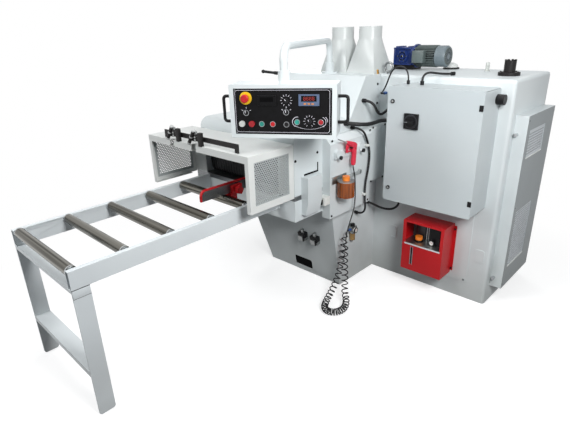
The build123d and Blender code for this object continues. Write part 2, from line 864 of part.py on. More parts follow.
def laser_bar():
    y0, y1 = laser_bar_y - laser_bar_thickness / 2, laser_bar_y + laser_bar_thickness / 2
    x0, x1 = laser_bar_x
    bar = block(x0, x1, y0, y1, laser_bar_z, laser_bar_z + laser_bar_height)
    for foot_x in (x0, x1 - laser_bar_height):
        bar += block(foot_x, foot_x + laser_bar_height, y0, y1, tunnel_top_z, laser_bar_z)
    return bar


def laser(x):
    half = laser_clamp_width / 2
    front = laser_bar_y - laser_bar_thickness / 2 - clear
    back = laser_bar_y + laser_bar_thickness / 2 + clear
    top = laser_bar_z + laser_bar_height + clear
    y0 = front - laser_clamp_front
    clamp = block(x - half, x + half, y0, back + laser_clamp_wall, laser_bar_z, top + laser_clamp_wall)
    clamp -= block(x - half, x + half, front, back, laser_bar_z, top)
    middle_z = laser_bar_z + laser_bar_height * 0.9
    barrel = Rot(0, laser_tilt, 0) * Cylinder(laser_radius, laser_length)
    return clamp + Pos(x, y0 - laser_radius * 0.8, middle_z) * barrel


# Fence

def fence_outline(inset):
    """Side view of the fence with its rounded front top corner, inset at the top and front."""
    y0, y1 = front_y - fence_front + inset, front_y - fence_back
    z0, z1 = bed_top + fence_lift, bed_top + fence_lift + fence_height - inset
    bend = fence_round - inset
    lines = Polyline((0, y0 + bend, z1), (0, y1, z1), (0, y1, z0), (0, y0, z0), (0, y0, z1 - bend))
    return make_face([lines, front_corner(y0, z1, bend)])


def fence_plate():
    x0 = fence_x - fence_thickness / 2
    return extrude(Pos(x0, 0, 0) * fence_outline(fence_rim), amount=fence_thickness, dir=(1, 0, 0))


def fence_edge():
    thickness = fence_thickness + 2 * fence_rim_proud
    band = fence_outline(0) - fence_outline(fence_rim)
    return extrude(Pos(fence_x - thickness / 2, 0, 0) * band, amount=thickness, dir=(1, 0, 0))


def fence_block():
    half_x, half_y = fence_block_width / 2, fence_block_depth / 2
    bottom = fence_bar_z - fence_bar_radius - 2 * fence_rim
    x0, x1 = fence_x - half_x, fence_x + half_x
    foot = bed_top + fence_lift
    carrier = block(x0, x1, fence_bar_y - half_y, fence_bar_y + half_y, bottom, foot)
    carrier -= rod_x(x0, x1, fence_bar_y, fence_bar_z, fence_bar_radius + fit_gap)
    bracket = block(fence_x + fence_thickness / 2, x1, *fence_bracket_y, foot, foot + fence_bracket_height)
    return carrier + bracket


def fence_clamp():
    x0 = fence_x + fence_block_width / 2
    x1 = x0 + fence_stem_length
    z = bed_top + fence_lift + fence_knob_lift
    grip = RegularPolygon(fence_knob_radius, 5)
    face = Plane(origin=(x1, fence_knob_y, z), x_dir=(0, 1, 0), z_dir=(1, 0, 0))
    knob = extrude(face * grip, amount=fence_knob_length)
    return knob + rod_x(x0 + clear, x1, fence_knob_y, z, fence_stem_radius)


# Fingers behind the mouth

def fingers():
    tip_z = bed_top + finger_tip_gap
    eye = finger_eye_radius
    outline = [(finger_y - eye * 0.9, finger_shaft_z), (finger_y + eye * 0.9, finger_shaft_z),
               (finger_y + eye * 0.6, tip_z + 2 * eye), (finger_y + eye * 0.1, tip_z),
               (finger_y - eye * 0.4, tip_z + eye)]
    row = []
    first = -finger_pitch * (finger_count - 1) / 2
    for i in range(finger_count):
        x0 = first + i * finger_pitch - finger_thickness / 2
        x1 = x0 + finger_thickness
        finger = prism_x(outline, x0, x1) + rod_x(x0, x1, finger_y, finger_shaft_z, eye)
        row.append(finger - rod_x(x0, x1, finger_y, finger_shaft_z, finger_shaft_radius + fit_gap))
    return row


# Arbor, blades and belt drive

def saw_blade(x):
    step = 2 * math.pi / blade_teeth
    root = blade_radius - tooth_depth
    points = []
    for i in range(blade_teeth):
        for radius, share in ((blade_radius, 0.0), (root, 0.12), (root, 0.5)):
            angle = (i + share) * step
            points.append((radius * math.cos(angle), arbor_z + radius * math.sin(angle)))
    half = blade_thickness / 2
    disc = prism_x(points, x - half, x + half)
    return disc - rod_x(x - half, x + half, 0, arbor_z, arbor_radius)


def blade_stack():
    first = -blade_pitch * (blade_count - 1) / 2
    xs = [first + i * blade_pitch for i in range(blade_count)]
    half = blade_thickness / 2
    edges = [xs[0] - end_spacer_length] + xs + [xs[-1] + end_spacer_length]
    spacers = []
    for a, b in zip(edges, edges[1:]):
        x0 = a + half
        x1 = b - half
        spacers.append(rod_x(x0, x1, 0, arbor_z, spacer_radius) - rod_x(x0, x1, 0, arbor_z, arbor_radius))
    return [saw_blade(x) for x in xs] + spacers


def arbor_shaft():
    return rod_x(inner_left_x + 2 * housing_wall, arbor_right_x, 0, arbor_z, arbor_radius)


def grooved_pulley(y, z, radius, bore):
    """Pulley with a row of V grooves, axis along X."""
    x0, x1 = pulley_x
    pitch = (x1 - x0) / groove_count
    outline = [(x0, bore), (x0, radius)]
    for i in range(groove_count):
        left = x0 + i * pitch
        outline += [(left + pitch * 0.2, radius), (left + pitch * 0.4, radius - groove_depth),
                    (left + pitch * 0.6, radius - groove_depth), (left + pitch * 0.8, radius)]
    outline += [(x1, radius), (x1, bore)]
    face = make_face(Polyline(*[(x, 0, r) for x, r in outline], close=True))
    return Pos(0, y, z) * revolve(face, Axis.X)


def motor_rotor():
    shaft = rod_x(pulley_x[0], motor_x[0] + motor_shaft_seat, motor_y, motor_z, motor_shaft_radius)
    return [shaft, grooved_pulley(motor_y, motor_z, motor_pulley_radius, motor_shaft_radius)]


def main_motor():
    x0, x1 = motor_x
    body = rod_x(x0, x1, motor_y, motor_z, motor_radius)
    body -= rod_x(x0, x0 + motor_shaft_seat, motor_y, motor_z, motor_shaft_radius + fit_gap)
    foot_z = motor_z - motor_foot_height
    for x in (x0 + motor_radius / 2, x1 - motor_radius):
        body += block(x, x + motor_radius / 2, motor_y - motor_foot_spread, motor_y + motor_foot_spread,
                      foot_z, motor_z - motor_radius / 2)
    half = motor_radius / 2
    middle = (x0 + x1) / 2
    return body + block(middle - half, middle + half, motor_y - half, motor_y + half, motor_z,
                        motor_z + motor_radius + half)


def drive_belts():
    x0, x1 = pulley_x[0] + belt_inset, pulley_x[1] - belt_inset
    loops = []
    for grow in (belt_thickness + clear, clear):
        rims = []
        for y, z, radius in ((0, arbor_z, arbor_pulley_radius), (motor_y, motor_z, motor_pulley_radius)):
            rims += (Pos(y, z) * Circle(radius + grow)).edges()
        loops.append(make_hull(rims))
    face = Plane(origin=(x0, 0, 0), x_dir=(0, 1, 0), z_dir=(1, 0, 0)) * (loops[0] - loops[1])
    return extrude(face, amount=x1 - x0)


# Feed rollers and bearing blocks

def feed_roller(z, left_end, right_end):
    roller = rod_x(-feed_roller_half, feed_roller_half, feed_roller_y, z, feed_roller_radius)
    return roller + rod_x(left_end, right_end, feed_roller_y, z, journal_radius)


def wall_blocks(y, z, half, length, bore):
    """Bearing blocks on the inner faces of the housing's two sides."""
    blocks = []
    for x0, x1 in ((inner_left_x, inner_left_x + length), (inner_right_x - length, inner_right_x)):
        cube = block(x0, x1, y - half, y + half, z - half, z + half)
        blocks.append(cube - rod_x(x0, x1, y, z, bore + fit_gap))
    return blocks


def lower_blocks():
    """Bearing blocks of the lower feed roller under the bed plate."""
    blocks = []
    for side in (-1, 1):
        x0, x1 = sorted((side * lower_block_inset, side * (lower_block_inset + feed_block_length)))
        cube = block(x0, x1, feed_roller_y - feed_block_half, feed_roller_y + feed_block_half,
                     bed_under - lower_block_height, bed_under)
        blocks.append(cube - rod_x(x0, x1, feed_roller_y, lower_roller_z, journal_radius + fit_gap))
    return blocks


def bearing_blocks():
    arbor = wall_blocks(0, arbor_z, arbor_block_half, arbor_block_length, arbor_radius)
    upper = wall_blocks(feed_roller_y, upper_roller_z, feed_block_half, feed_block_length, journal_radius)
    return arbor + upper + lower_blocks()


# Geared motor on the roof

def feed_gearmotor():
    x0, x1 = gear_x
    y0, y1 = gear_y - gear_half_depth, gear_y + gear_half_depth
    gear = block(x0, x1, y0, y1, gear_z - gear_half_height, gear_z + gear_half_height)
    gear = chamfer(gear.edges().filter_by(Axis.Y), gear_half_height / 5)
    middle = (x0 + x1) / 2
    gear += rod_y(middle, y0 - gear_flange_length, y1 + gear_flange_length, gear_z, gear_half_height * 0.7)
    foot = block(x0, x1 + gear_flange_length, y0, y1, roof_z, gear_z - gear_half_height)
    x2 = x1 + gear_flange_length
    x3 = x2 + gear_motor_length
    x4 = x3 + fan_cover_length
    motor = rod_x(x1, x2, gear_y, gear_z, gear_flange_radius)
    motor += rod_x(x2, x3, gear_y, gear_z, gear_motor_radius)
    fan = rod_x(x3, x4, gear_y, gear_z, fan_cover_radius)
    motor += fillet(fan.edges().sort_by(Axis.X)[-1], fan_cover_length / 4)
    length, depth, height = terminal_box
    box_y = gear_y - gear_motor_radius - depth
    box_x = x2 + gear_flange_length
    motor += block(box_x, box_x + length, box_y, gear_y, gear_z - height / 2, gear_z + height / 2)
    return [foot, gear, motor]


# Control pendant

def pendant_arm():
    foot = (arm_foot_x, arm_foot_y, roof_z + socket_flange_height + clear)
    drop = (swivel_x, swivel_y, box_mid_z + box_height / 2 + clear)
    top = [(arm_foot_x, arm_foot_y, arm_top_z), (swivel_x, swivel_y, arm_top_z)]
    path = bent_path([foot] + top + [drop], arm_bend)
    return tube_along(path, arm_tube_radius) - tube_along(path, arm_tube_radius - arm_tube_wall)


def pendant_place():
    """Frame of the control box front: X to the right, Y into the box, Z up."""
    return Pos(swivel_x, swivel_y, box_mid_z) * Rot(0, 0, box_turn) * Pos(0, -box_forward, 0)


def control_box():
    half_w, half_h = box_width / 2, box_height / 2
    case = block(-half_w, half_w, 0, box_depth, -half_h, half_h)
    case = fillet(case.edges().filter_by(Axis.Y), 2 * box_wall)
    case -= block(-panel_width / 2, panel_width / 2, 0, panel_recess, -panel_height / 2, panel_height / 2)
    case -= block(-half_w + box_wall, half_w - box_wall, panel_recess + box_wall, box_depth - box_wall,
                  -half_h + box_wall, half_h - box_wall)
    collar = rod_z(0, box_forward, half_h, half_h + collar_height, arm_tube_radius + socket_wall)
    collar -= rod_z(0, box_forward, half_h, half_h + collar_height, arm_tube_radius + fit_gap)
    pieces = [case + collar]
    for side in (-1, 1):
        x0, x1 = side * half_w, side * (half_w + handle_reach)
        y = handle_back
        low, high = handle_lift - handle_height / 2, handle_lift + handle_height / 2
        path = bent_path([(x0, y, low), (x1, y, low), (x1, y, high), (x0, y, high)], handle_bend)
        pieces.append(tube_along(path, handle_radius))
    return [pendant_place() * p for p in pieces]


def panel_round(u, v, radius, low, high):
    """Disc standing on the panel, from low to high above its face."""
    face = panel_recess - panel_thickness
    return rod_y(u, face - high, face - low, v, radius)


def control_panel():
    face = panel_recess - panel_thickness
    half_w, half_h = panel_width / 2, panel_height / 2
    pieces = [block(-half_w, half_w, face, panel_recess, -half_h, half_h)]
    for u, v in list(button_uv.values()) + list(selector_uv.values()):
        ring = panel_round(u, v, bezel_radius, 0, bezel_height)
        pieces.append(ring - panel_round(u, v, button_radius + clear, 0, bezel_height))
    ring = panel_round(estop_u, estop_v, estop_ring_radius, 0, estop_ring_height)
    pieces.append(ring - panel_round(estop_u, estop_v, estop_stem_radius + clear, 0, estop_ring_height))
    for u, v in lamp_uv:
        pieces.append(panel_round(u, v, lamp_radius, 0, lamp_stand))
    for (u, v), (width, height) in zip(display_uv, display_size):
        pieces.append(block(u - width / 2, u + width / 2, face - display_stand, face,
                            v - height / 2, v + height / 2))
    return [pendant_place() * p for p in pieces]


def push_button(u, v):
    return pendant_place() * panel_round(u, v, button_radius, button_stand - button_height, button_stand)


def estop_button():
    low, high = estop_head_stand, estop_head_stand + estop_head_height
    stem = panel_round(estop_u, estop_v, estop_stem_radius, low - estop_ring_height, low)
    head = panel_round(estop_u, estop_v, estop_head_radius, low, high)
    head = fillet(head.edges().sort_by(Axis.Y)[0], estop_head_height / 3)
    return pendant_place() * (stem + head)


def selector(u, v):
    base = panel_round(u, v, button_radius, clear, bezel_height + clear)
    face = panel_recess - panel_thickness
    grip = block(u - selector_grip / 2, u + selector_grip / 2, face - selector_stand, face - bezel_height,
                 v - button_radius * 0.8, v + button_radius * 0.8)
    return pendant_place() * (base + grip)


def speed_knob(u, v):
    knob = panel_round(u, v, knob_radius, clear, knob_stand)
    skirt = panel_round(u, v, knob_radius * 1.3, clear, knob_stand / 4)
    return pendant_place() * (knob + skirt)


# Electrical cabinet

def cabinet_box():
    x0, x1 = cabinet_x
    z0, z1 = cabinet_z
    wall = cabinet_wall
    box = block(x0, x1, cabinet_front_y, motor_house_front_y, z0, z1)
    box = fillet(box.edges().filter_by(Axis.Y), cabinet_round)
    box -= block(x0 + wall, x1 - wall, cabinet_front_y, motor_house_front_y - wall, z0 + wall, z1 - wall)
    inset = mount_plate_inset
    plate_y = motor_house_front_y - wall
    return box + block(x0 + inset, x1 - inset, plate_y - 2 * wall, plate_y, z0 + inset, z1 - inset)


def cabinet_door():
    x0, x1 = cabinet_x
    z0, z1 = cabinet_z
    back = cabinet_front_y - door_gap
    door = block(x0, x1, door_front_y, back, z0, z1)
    door = fillet(door.edges().filter_by(Axis.Y), cabinet_round)
    door -= block(x0 + door_rim, x1 - door_rim, door_front_y + door_skin, back, z0 + door_rim, z1 - door_rim)
    half = isolator_plate / 2
    plate = block(isolator_x - half, isolator_x + half, door_front_y - isolator_plate_depth, door_front_y,
                  isolator_z - half, isolator_z + half)
    pieces = [door, plate]
    for z in hinge_z:
        pieces.append(block(x1 - hinge_width, x1, door_front_y - hinge_proud, door_front_y,
                            z - hinge_height / 2, z + hinge_height / 2))
    return pieces


def isolator_knob():
    y0 = door_front_y - isolator_plate_depth - clear
    dial = rod_y(isolator_x, y0 - isolator_dial_depth, y0, isolator_z, isolator_dial_radius)
    half = isolator_grip_width / 2
    reach = isolator_dial_radius * 0.9
    y1 = y0 - isolator_dial_depth
    return dial + block(isolator_x - reach, isolator_x + reach, y1 - isolator_grip_depth, y1,
                        isolator_z - half, isolator_z + half)


def door_lock(z):
    y0 = door_front_y - clear
    lock = rod_y(lock_x, y0 - lock_depth, y0, z, lock_radius)
    slot = lock_radius / 4
    return lock - block(lock_x - slot, lock_x + slot, y0 - lock_depth, y0 - lock_depth / 2,
                        z - lock_radius / 2, z + lock_radius / 2)


# Lubricator

def lubricator():
    back = motor_house_front_y - plate_thickness
    x0, x1 = lube_x
    z0, z1 = lube_z
    wall = lube_wall
    case = block(x0, x1, lube_front_y, back, z0, z1)
    case += block(x0 - lube_tab, x1 + lube_tab, back - wall, back, z0 + lube_tab, z1 - lube_tab)
    case -= block(x0 + wall, x1 - wall, lube_front_y + wall, back - wall, z0 + wall, z1 - wall)
    case -= block(*lube_window_x, lube_front_y, lube_front_y + wall, *lube_window_z)
    slot = lube_slot_width / 2
    case -= block(lube_slot_x - slot, lube_slot_x + slot, lube_front_y, lube_front_y + wall, *lube_slot_z)
    glass = block(lube_slot_x - 2 * slot, lube_slot_x + 2 * slot, lube_front_y + wall, lube_front_y + 2 * wall,
                  lube_slot_z[0] - slot, lube_slot_z[1] + slot)
    tray_z = lube_window_z[0]
    tray = block(x0 + wall, x1 - wall, lube_front_y + wall, back - wall, tray_z - lube_tray, tray_z)
    middle = (lube_front_y + back) / 2
    tray += rod_z(lube_cap_x, middle, tray_z, tray_z + lube_neck_height, lube_neck_radius)
    cap_z = tray_z + lube_neck_height
    cap = rod_z(lube_cap_x, middle, cap_z, cap_z + lube_cap_height, lube_cap_radius)
    pump = block(*lube_pump_x, middle, back - 2 * wall, tray_z, tray_z + lube_pump_height)
    gauge_z = tray_z + lube_gauge_radius
    gauge = rod_y(lube_gauge_x, middle - lube_gauge_radius, middle, gauge_z, lube_gauge_radius)
    return [case, tray, cap, pump, gauge, glass]


# Oil cup, air gun and air units

def oil_cup():
    x = side_face_x + cup_reach
    top = cup_top_z + cup_bracket_thickness
    bracket = block(side_face_x, x, cup_y - cup_radius / 2, cup_y + cup_radius / 2, cup_top_z, top)
    bracket += rod_z(x, cup_y, cup_top_z, top, cup_radius)
    cup = rod_z(x, cup_y, cup_bottom_z, cup_top_z, cup_radius)
    cup -= rod_z(x, cup_y, cup_bottom_z + cup_wall, cup_top_z, cup_radius - cup_wall)
    return [bracket, cup, rod_z(x, cup_y, top, top + cup_cap_height, cup_cap_radius)]


def gun_place():
    """Frame of the air gun: X along the barrel towards the nozzle, Z up, at the middle of the barrel."""
    return Pos(gun_x, gun_mid_y, gun_mid_z) * Rot(-gun_tilt, 0, 0) * Rot(0, 0, -90)


def air_gun():
    half = gun_body_length / 2
    body = rod_x(-half, half, 0, 0, gun_body_radius)
    body += rod_x(half, half + gun_nozzle_length, 0, 0, gun_nozzle_radius)
    grip = Pos(0, 0, -gun_handle_length / 2) * Cylinder(gun_handle_radius, gun_handle_length)
    return gun_place() * body + gun_handle() * grip


def gun_trigger():
    x1 = gun_body_length / 4
    top = -gun_body_radius - 3 * clear
    lever = block(x1 - trigger_thickness, x1, -trigger_width / 2, trigger_width / 2, top - trigger_length, top)
    return gun_place() * lever


def air_regulator():
    x0 = right_x
    half = regulator_width / 2
    x1 = x0 + regulator_depth
    body = block(x0, x1, regulator_y - half, regulator_y + half, regulator_z, regulator_z + regulator_height)
    middle = (x0 + x1) / 2
    bowl = rod_z(middle, regulator_y, regulator_z - regulator_bowl_height, regulator_z, regulator_bowl_radius)
    cap = rod_z(middle, regulator_y, regulator_z + regulator_height,
                regulator_z + regulator_height + regulator_bowl_radius, regulator_bowl_radius * 0.8)
    gauge_z = regulator_z + regulator_height / 2
    gauge = rod_x(x1, x1 + regulator_gauge_radius / 2, regulator_y, gauge_z, regulator_gauge_radius)
    hose_x, hose_y, hose_z = curl_route[0]
    outlet = rod_y(hose_x, hose_y + hose_end, regulator_y - half, hose_z, 2 * hose_radius)
    return [body, bowl, cap, gauge, outlet]


def solenoid_valves():
    valves = []
    for x in valve_x:
        y = base_foot_front_y - base_lean * valve_z / base_top_z
        seat = Pos(x, y, valve_z) * Rot(lean_angle, 0, 0)
        body = block(-valve_width / 2, valve_width / 2, -valve_depth, 0, -valve_height / 2, valve_height / 2)
        coil = rod_z(0, -valve_depth / 2, valve_height / 2, valve_height, valve_depth / 3)
        valves.append(seat * (body + coil))
    return valves


# Coiled air hose

def gun_handle():
    """Frame of the gun's handle, with Z along it and the hose end of the handle at its lower end."""
    place = gun_place() * Pos(gun_handle_radius - gun_body_length / 2, 0, 0)
    return place * Rot(0, gun_tilt - gun_handle_lean, 0)


def hose_axis():
    """Smooth line through the middle of the curls and on to the gun."""
    last = (gun_handle() * Pos(0, 0, -gun_handle_length - hose_end)).position
    return Spline(*[Vector(*p) for p in curl_route + hose_route], last)


def pitch_at(t, stations):
    """Pitch of the curls at a place on the axis."""
    knots = list(zip(stations, curl_pitch))
    for (a, pitch_a), (b, pitch_b) in zip(knots, knots[1:]):
        if t <= b:
            return pitch_a + (pitch_b - pitch_a) * (t - a) / (b - a)
    return curl_pitch[-1]


def curl_points(axis, stations, per_turn):
    """Points of the hose round its axis, with the curls opening and closing smoothly at their two ends."""
    points = []
    t = 0.0
    turn = 0.0
    normal = Vector(1, 0, 0)
    while t < stations[-1]:
        tangent = axis % t
        normal = (normal - tangent * normal.dot(tangent)).normalized()
        out = normal * math.cos(turn) + tangent.cross(normal) * math.sin(turn)
        open_share = min(1.0, t * axis.length / curl_lead, (stations[-1] - t) * axis.length / curl_lead)
        reach = curl_radius * open_share ** 2 * (3 - 2 * open_share)
        points.append((axis @ t) + out * reach)
        t += pitch_at(t, stations) / per_turn / axis.length
        turn += 2 * math.pi / per_turn
    return points


def biarc(p0, d0, p1, d1):
    """Two tangent arcs from p0 to p1 with given end directions."""
    chord = p1 - p0
    a = 2 * (1 - d0.dot(d1))
    b = 2 * chord.dot(d0 + d1)
    reach = (math.sqrt(b * b + 4 * a * chord.dot(chord)) - b) / (2 * a)
    middle = (p0 + d0 * reach + p1 - d1 * reach) * 0.5
    first = Edge.make_tangent_arc(p0, d0, middle)
    return [first, Edge.make_tangent_arc(middle, first % 1, p1)]


def least_gap(points, per_turn):
    """Least clear distance between stretches of the hose that are at least half a turn apart."""
    least = math.inf
    for i, p in enumerate(points):
        for q in points[i + per_turn // 2:]:
            least = min(least, (p - q).length)
    return least - 2 * hose_radius


def coil_hose():
    per_turn = 24
    axis = hose_axis()
    stations = [axis.param_at_point(Vector(*p)) for p in curl_route]
    points = curl_points(axis, stations, per_turn)
    half_turn = per_turn // 2
    marks = range(half_turn, len(points) - 1, half_turn)
    knots = [points[0]] + [points[i] for i in marks]
    directions = [Vector(0, -1, 0)] + [(points[i + 1] - points[i - 1]).normalized() for i in marks]
    for p in hose_route:
        t = axis.param_at_point(Vector(*p))
        knots.append(axis @ t)
        directions.append((axis % t).normalized())
    knots.append(axis @ 1)
    directions.append(gun_handle().z_axis.direction)

    edges = [Edge.make_line(knots[0] - directions[0] * hose_end, knots[0])]
    for i in range(len(knots) - 1):
        edges += biarc(knots[i], directions[i], knots[i + 1], directions[i + 1])
    edges.append(Edge.make_line(knots[-1], knots[-1] + directions[-1] * hose_end))
    length = sum(e.length for e in edges)
    lowest = min(p.Z for p in points) - hose_radius
    print(f"coil hose: {len(points) / per_turn:.0f} curls, {length:.0f} mm long, lowest point {lowest:.1f} mm, "
          f"least gap to itself {least_gap(points, per_turn):.2f} mm")

    section = Plane(origin=edges[0] @ 0, z_dir=edges[0] % 0) * RegularPolygon(hose_radius, hose_sides)
    skin = [section.face()]
    for edge in edges:
        stretch = sweep(section, path=edge)
        near = stretch.faces().sort_by_distance(edge @ 0)[0]
        section = stretch.faces().sort_by_distance(edge @ 1)[0]
        skin += [f for f in stretch.faces() if not (f.is_same(near) or f.is_same(section))]
    return Solid(Shell(skin + [section]))


# Cables, conduits and glands

def gland(foot, direction, radius):
    """Round gland standing on a face, and the place where its cable leaves it."""
    stand = Plane(origin=foot, z_dir=direction)
    body = extrude(stand * Circle(radius), amount=gland_length)
    return body, Vector(*foot) + Vector(*direction) * gland_length


def cable(name, start, corners, end, radius):
    """Cable from one gland to another, with an arc as wide as its runs allow at each corner."""
    points = [start] + [Vector(*p) for p in corners] + [end]
    radii = run_radii(points)
    print(f"{name}: arc radii", [round(r) for r in radii], "for a diameter of", 2 * radius)
    return tube_along(bent_path(points, radii), radius)


def cables_and_glands():
    side_x = cabinet_x[1]
    pieces = [rod_x(side_x, side_x + side_gland_length, side_gland_y, side_gland_z, side_gland_radius)]
    mid_y = (cabinet_front_y + motor_house_front_y) / 2
    left, right, up, front = (-1, 0, 0), (1, 0, 0), (0, 0, 1), (0, -1, 0)
    roof_goal = (*roof_cable_end, roof_z + roof_cable_radius + gland_margin)
    runs = [("conduit", conduit_start, right, conduit_corners, conduit_end, left, conduit_radius),
            ("head cable", head_cable_start, right, head_cable_corners, head_cable_end, left,
             head_cable_radius),
            ("side cable", side_cable_start, right, side_cable_corners, side_cable_end, right,
             side_cable_radius),
            ("loop cable", (top_gland_x[0], mid_y, cabinet_z[1]), up, loop_cable_corners, loop_cable_end, front,
             loop_cable_radius),
            ("roof cable", (top_gland_x[1], mid_y, cabinet_z[1]), up, roof_cable_corners, roof_goal,
             roof_cable_facing, roof_cable_radius),
            ("low cable", low_cable_start, right, low_cable_corners, low_cable_end, (0, 0, -1),
             low_cable_radius)]
    for name, foot, leaving, corners, goal, facing, radius in runs:
        first, start = gland(foot, leaving, radius + gland_margin)
        last, end = gland(goal, facing, radius + gland_margin)
        pieces += [first, last, cable(name, start, corners, end, radius)]
    return pieces


def build():
    os.makedirs("parts", exist_ok=True)
    save("base_frame", base_frame())
    save("machine_bed", machine_bed())
    save("main_housing", main_housing())
    save("saw_head", saw_head())
    save("dust_hoods", *dust_hoods())
    save("motor_housing", motor_housing(), roof_vent(), lifting_eye())
    save("motor_side_cover", motor_side_cover(), *thumb_screws())
    save("access_plate", *access_plate())
    save("side_covers", side_cover_front(), side_cover_rear(), drive_cover(), clamp_bar(), switch_box(),
         gun_peg())
    save("infeed_rails", *infeed_rails(), *roller_axles())
    save("leg_frame", *leg_frame())
    for number, y in enumerate(roller_ys, 1):
        save(f"infeed_roller_{number}", infeed_roller(y))
    save("tunnel_hood", tunnel_hood())
    save("mesh_panels", *hood_mesh_panels(), *cover_meshes())
    save("laser_bar", laser_bar())
    save("laser_left", laser(laser_x[0]))
    save("laser_right", laser(laser_x[1]))
    save("fence_bar", rod_x(-rail_inner_x, rail_inner_x, fence_bar_y, fence_bar_z, fence_bar_radius))
    save("fence", fence_plate(), fence_edge(), fence_block())
    save("fence_clamp", fence_clamp())
    save("finger_shaft", rod_x(inner_left_x, inner_right_x, finger_y, finger_shaft_z, finger_shaft_radius))
    save("antikick_fingers", *fingers())
    save("arbor_shaft", arbor_shaft(), grooved_pulley(0, arbor_z, arbor_pulley_radius, arbor_radius))
    save("saw_blades", *blade_stack())
    save("bearing_blocks", *bearing_blocks())
    save("main_motor", main_motor())
    save("motor_pulley", *motor_rotor())
    save("drive_belts", drive_belts())
    lower_reach = lower_block_inset + feed_block_length
    save("feed_roller_lower", feed_roller(lower_roller_z, -lower_reach, lower_reach))
    upper_ends = (inner_left_x + housing_wall, inner_right_x - housing_wall)
    save("feed_roller_upper", feed_roller(upper_roller_z, *upper_ends))
    save("feed_gearmotor", *feed_gearmotor())
    save("pendant_arm", pendant_arm())
    save("control_box", *control_box())
    save("control_panel", *control_panel())
    save("estop_button", estop_button())
    for name, (u, v) in button_uv.items():
        save(name, push_button(u, v))
    for name, (u, v) in selector_uv.items():
        save(name, selector(u, v))
    for name, (u, v) in knob_uv.items():
        save(name, speed_knob(u, v))
    save("cabinet_box", cabinet_box())
    save("cabinet_door", *cabinet_door())
    save("isolator_knob", isolator_knob())
    save("door_lock_lower", door_lock(lock_z[0]))
    save("door_lock_upper", door_lock(lock_z[1]))
    save("lubricator", *lubricator())
    save("oil_cup", *oil_cup())
    save("air_gun", air_gun())
    save("gun_trigger", gun_trigger())
    save("air_units", *air_regulator(), *solenoid_valves())
    save("coil_hose", coil_hose())
    save("cables_and_glands", *cables_and_glands())


build()
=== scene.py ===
"""Looks of the multi-rip saw: painted sheet steel, bright rollers, control pendant and coiled air hose."""
import bmesh
import bpy
import math
from mathutils import Matrix, Vector


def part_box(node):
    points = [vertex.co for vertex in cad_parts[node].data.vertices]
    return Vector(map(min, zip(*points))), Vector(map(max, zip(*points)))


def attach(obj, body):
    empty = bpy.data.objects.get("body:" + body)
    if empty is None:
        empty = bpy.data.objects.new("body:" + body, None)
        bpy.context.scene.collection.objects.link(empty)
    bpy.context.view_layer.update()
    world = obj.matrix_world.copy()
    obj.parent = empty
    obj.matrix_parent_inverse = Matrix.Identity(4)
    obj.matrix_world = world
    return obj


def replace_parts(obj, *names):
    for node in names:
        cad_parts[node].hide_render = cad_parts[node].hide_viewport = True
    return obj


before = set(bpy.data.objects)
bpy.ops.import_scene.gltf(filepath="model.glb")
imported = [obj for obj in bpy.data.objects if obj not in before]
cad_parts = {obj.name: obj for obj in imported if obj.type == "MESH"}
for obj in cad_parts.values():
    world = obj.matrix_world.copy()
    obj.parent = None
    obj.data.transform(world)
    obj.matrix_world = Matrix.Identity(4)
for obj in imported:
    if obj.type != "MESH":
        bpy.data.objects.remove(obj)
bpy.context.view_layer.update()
MM = 0.001
UP, RIGHT, FRONT = (0, 0, 1), (1, 0, 0), (0, -1, 0)

# Camera fitted to the photograph: place in metres, angles in degrees, lens and film in millimetres
CAMERA_PLACE = (2.3084, -2.9814, 1.7851)
CAMERA_YAW, CAMERA_PITCH, CAMERA_ROLL = -44.277, 21.986, -1.807
CAMERA_LENS, CAMERA_FILM = 28.875, 36.0

# Lamps: name, place and target in metres, width in metres, power in watts
LAMPS = (("ceiling_panel", (0.1, -1.9, 4.4), (0.4, -0.7, 0.8), 2.8, 40.0),
         ("side_panel", (2.75, -1.9, 2.35), (0.5, -0.6, 1.0), 1.0, 76.0),
         ("front_panel", (-0.9, -4.4, 3.5), (0.0, -1.2, 0.8), 1.6, 72.0),
         ("roof_panel", (0.2, 0.6, 5.0), (0.3, -0.4, 1.0), 3.0, 26.0),
         ("back_panel", (-3.0, 3.4, 2.4), (0.3, 0.0, 0.8), 2.0, 70.0))
SOFT_LIGHT = 0.22
# Floor: half its width and how far it lies under the machine, in metres
FLOOR_HALF, FLOOR_DROP = 14.0, 0.0006

# Places shared with the solids, in millimetres
PANEL_SWIVEL = (588.0, -1192.0, 1391.0)
PANEL_TURN = 31.5
PANEL_FRONT = 70.0
PANEL_FACE = 3.0
HOUSING_SIDE, COVER_SIDE = 505.0, 570.0
MOTOR_FRONT, MOTOR_ROOF = -142.0, 1486.0
BASE_LEAN = math.atan2(112.0, 660.0)
GEARMOTOR_Y, GEARMOTOR_Z = 300.0, 1580.0
LEG_FRONT, LEG_BACK, LEG_INSIDE = -2380.0, -2295.0, 366.0
GUN_MID = (606.0, -607.0, 1094.0)
GUN_TILT = 22.5
GUN_LEAN = 5.0

# Fittings of the panel: to the right of the middle of its foil, and up
UPPER_KNOB, LOWER_KNOB = (23.0, 58.0), (143.0, -48.0)
LEFT_SELECTOR, MIDDLE_SELECTOR = (-195.0, -6.0), (22.0, -2.0)
LEFT_DISPLAY, RIGHT_DISPLAY = (-81.0, 58.0), (142.0, 60.0)
# The white lamp is to the left of this line, the red one to the right.
LAMPS_APART = -194.0
INK_DEPTH, INK_LINE = 0.5, 2.2

# Shapes that the solids leave square or thin
FOOT_ROUND = 14.0
GRIP_SWELL = 2.0

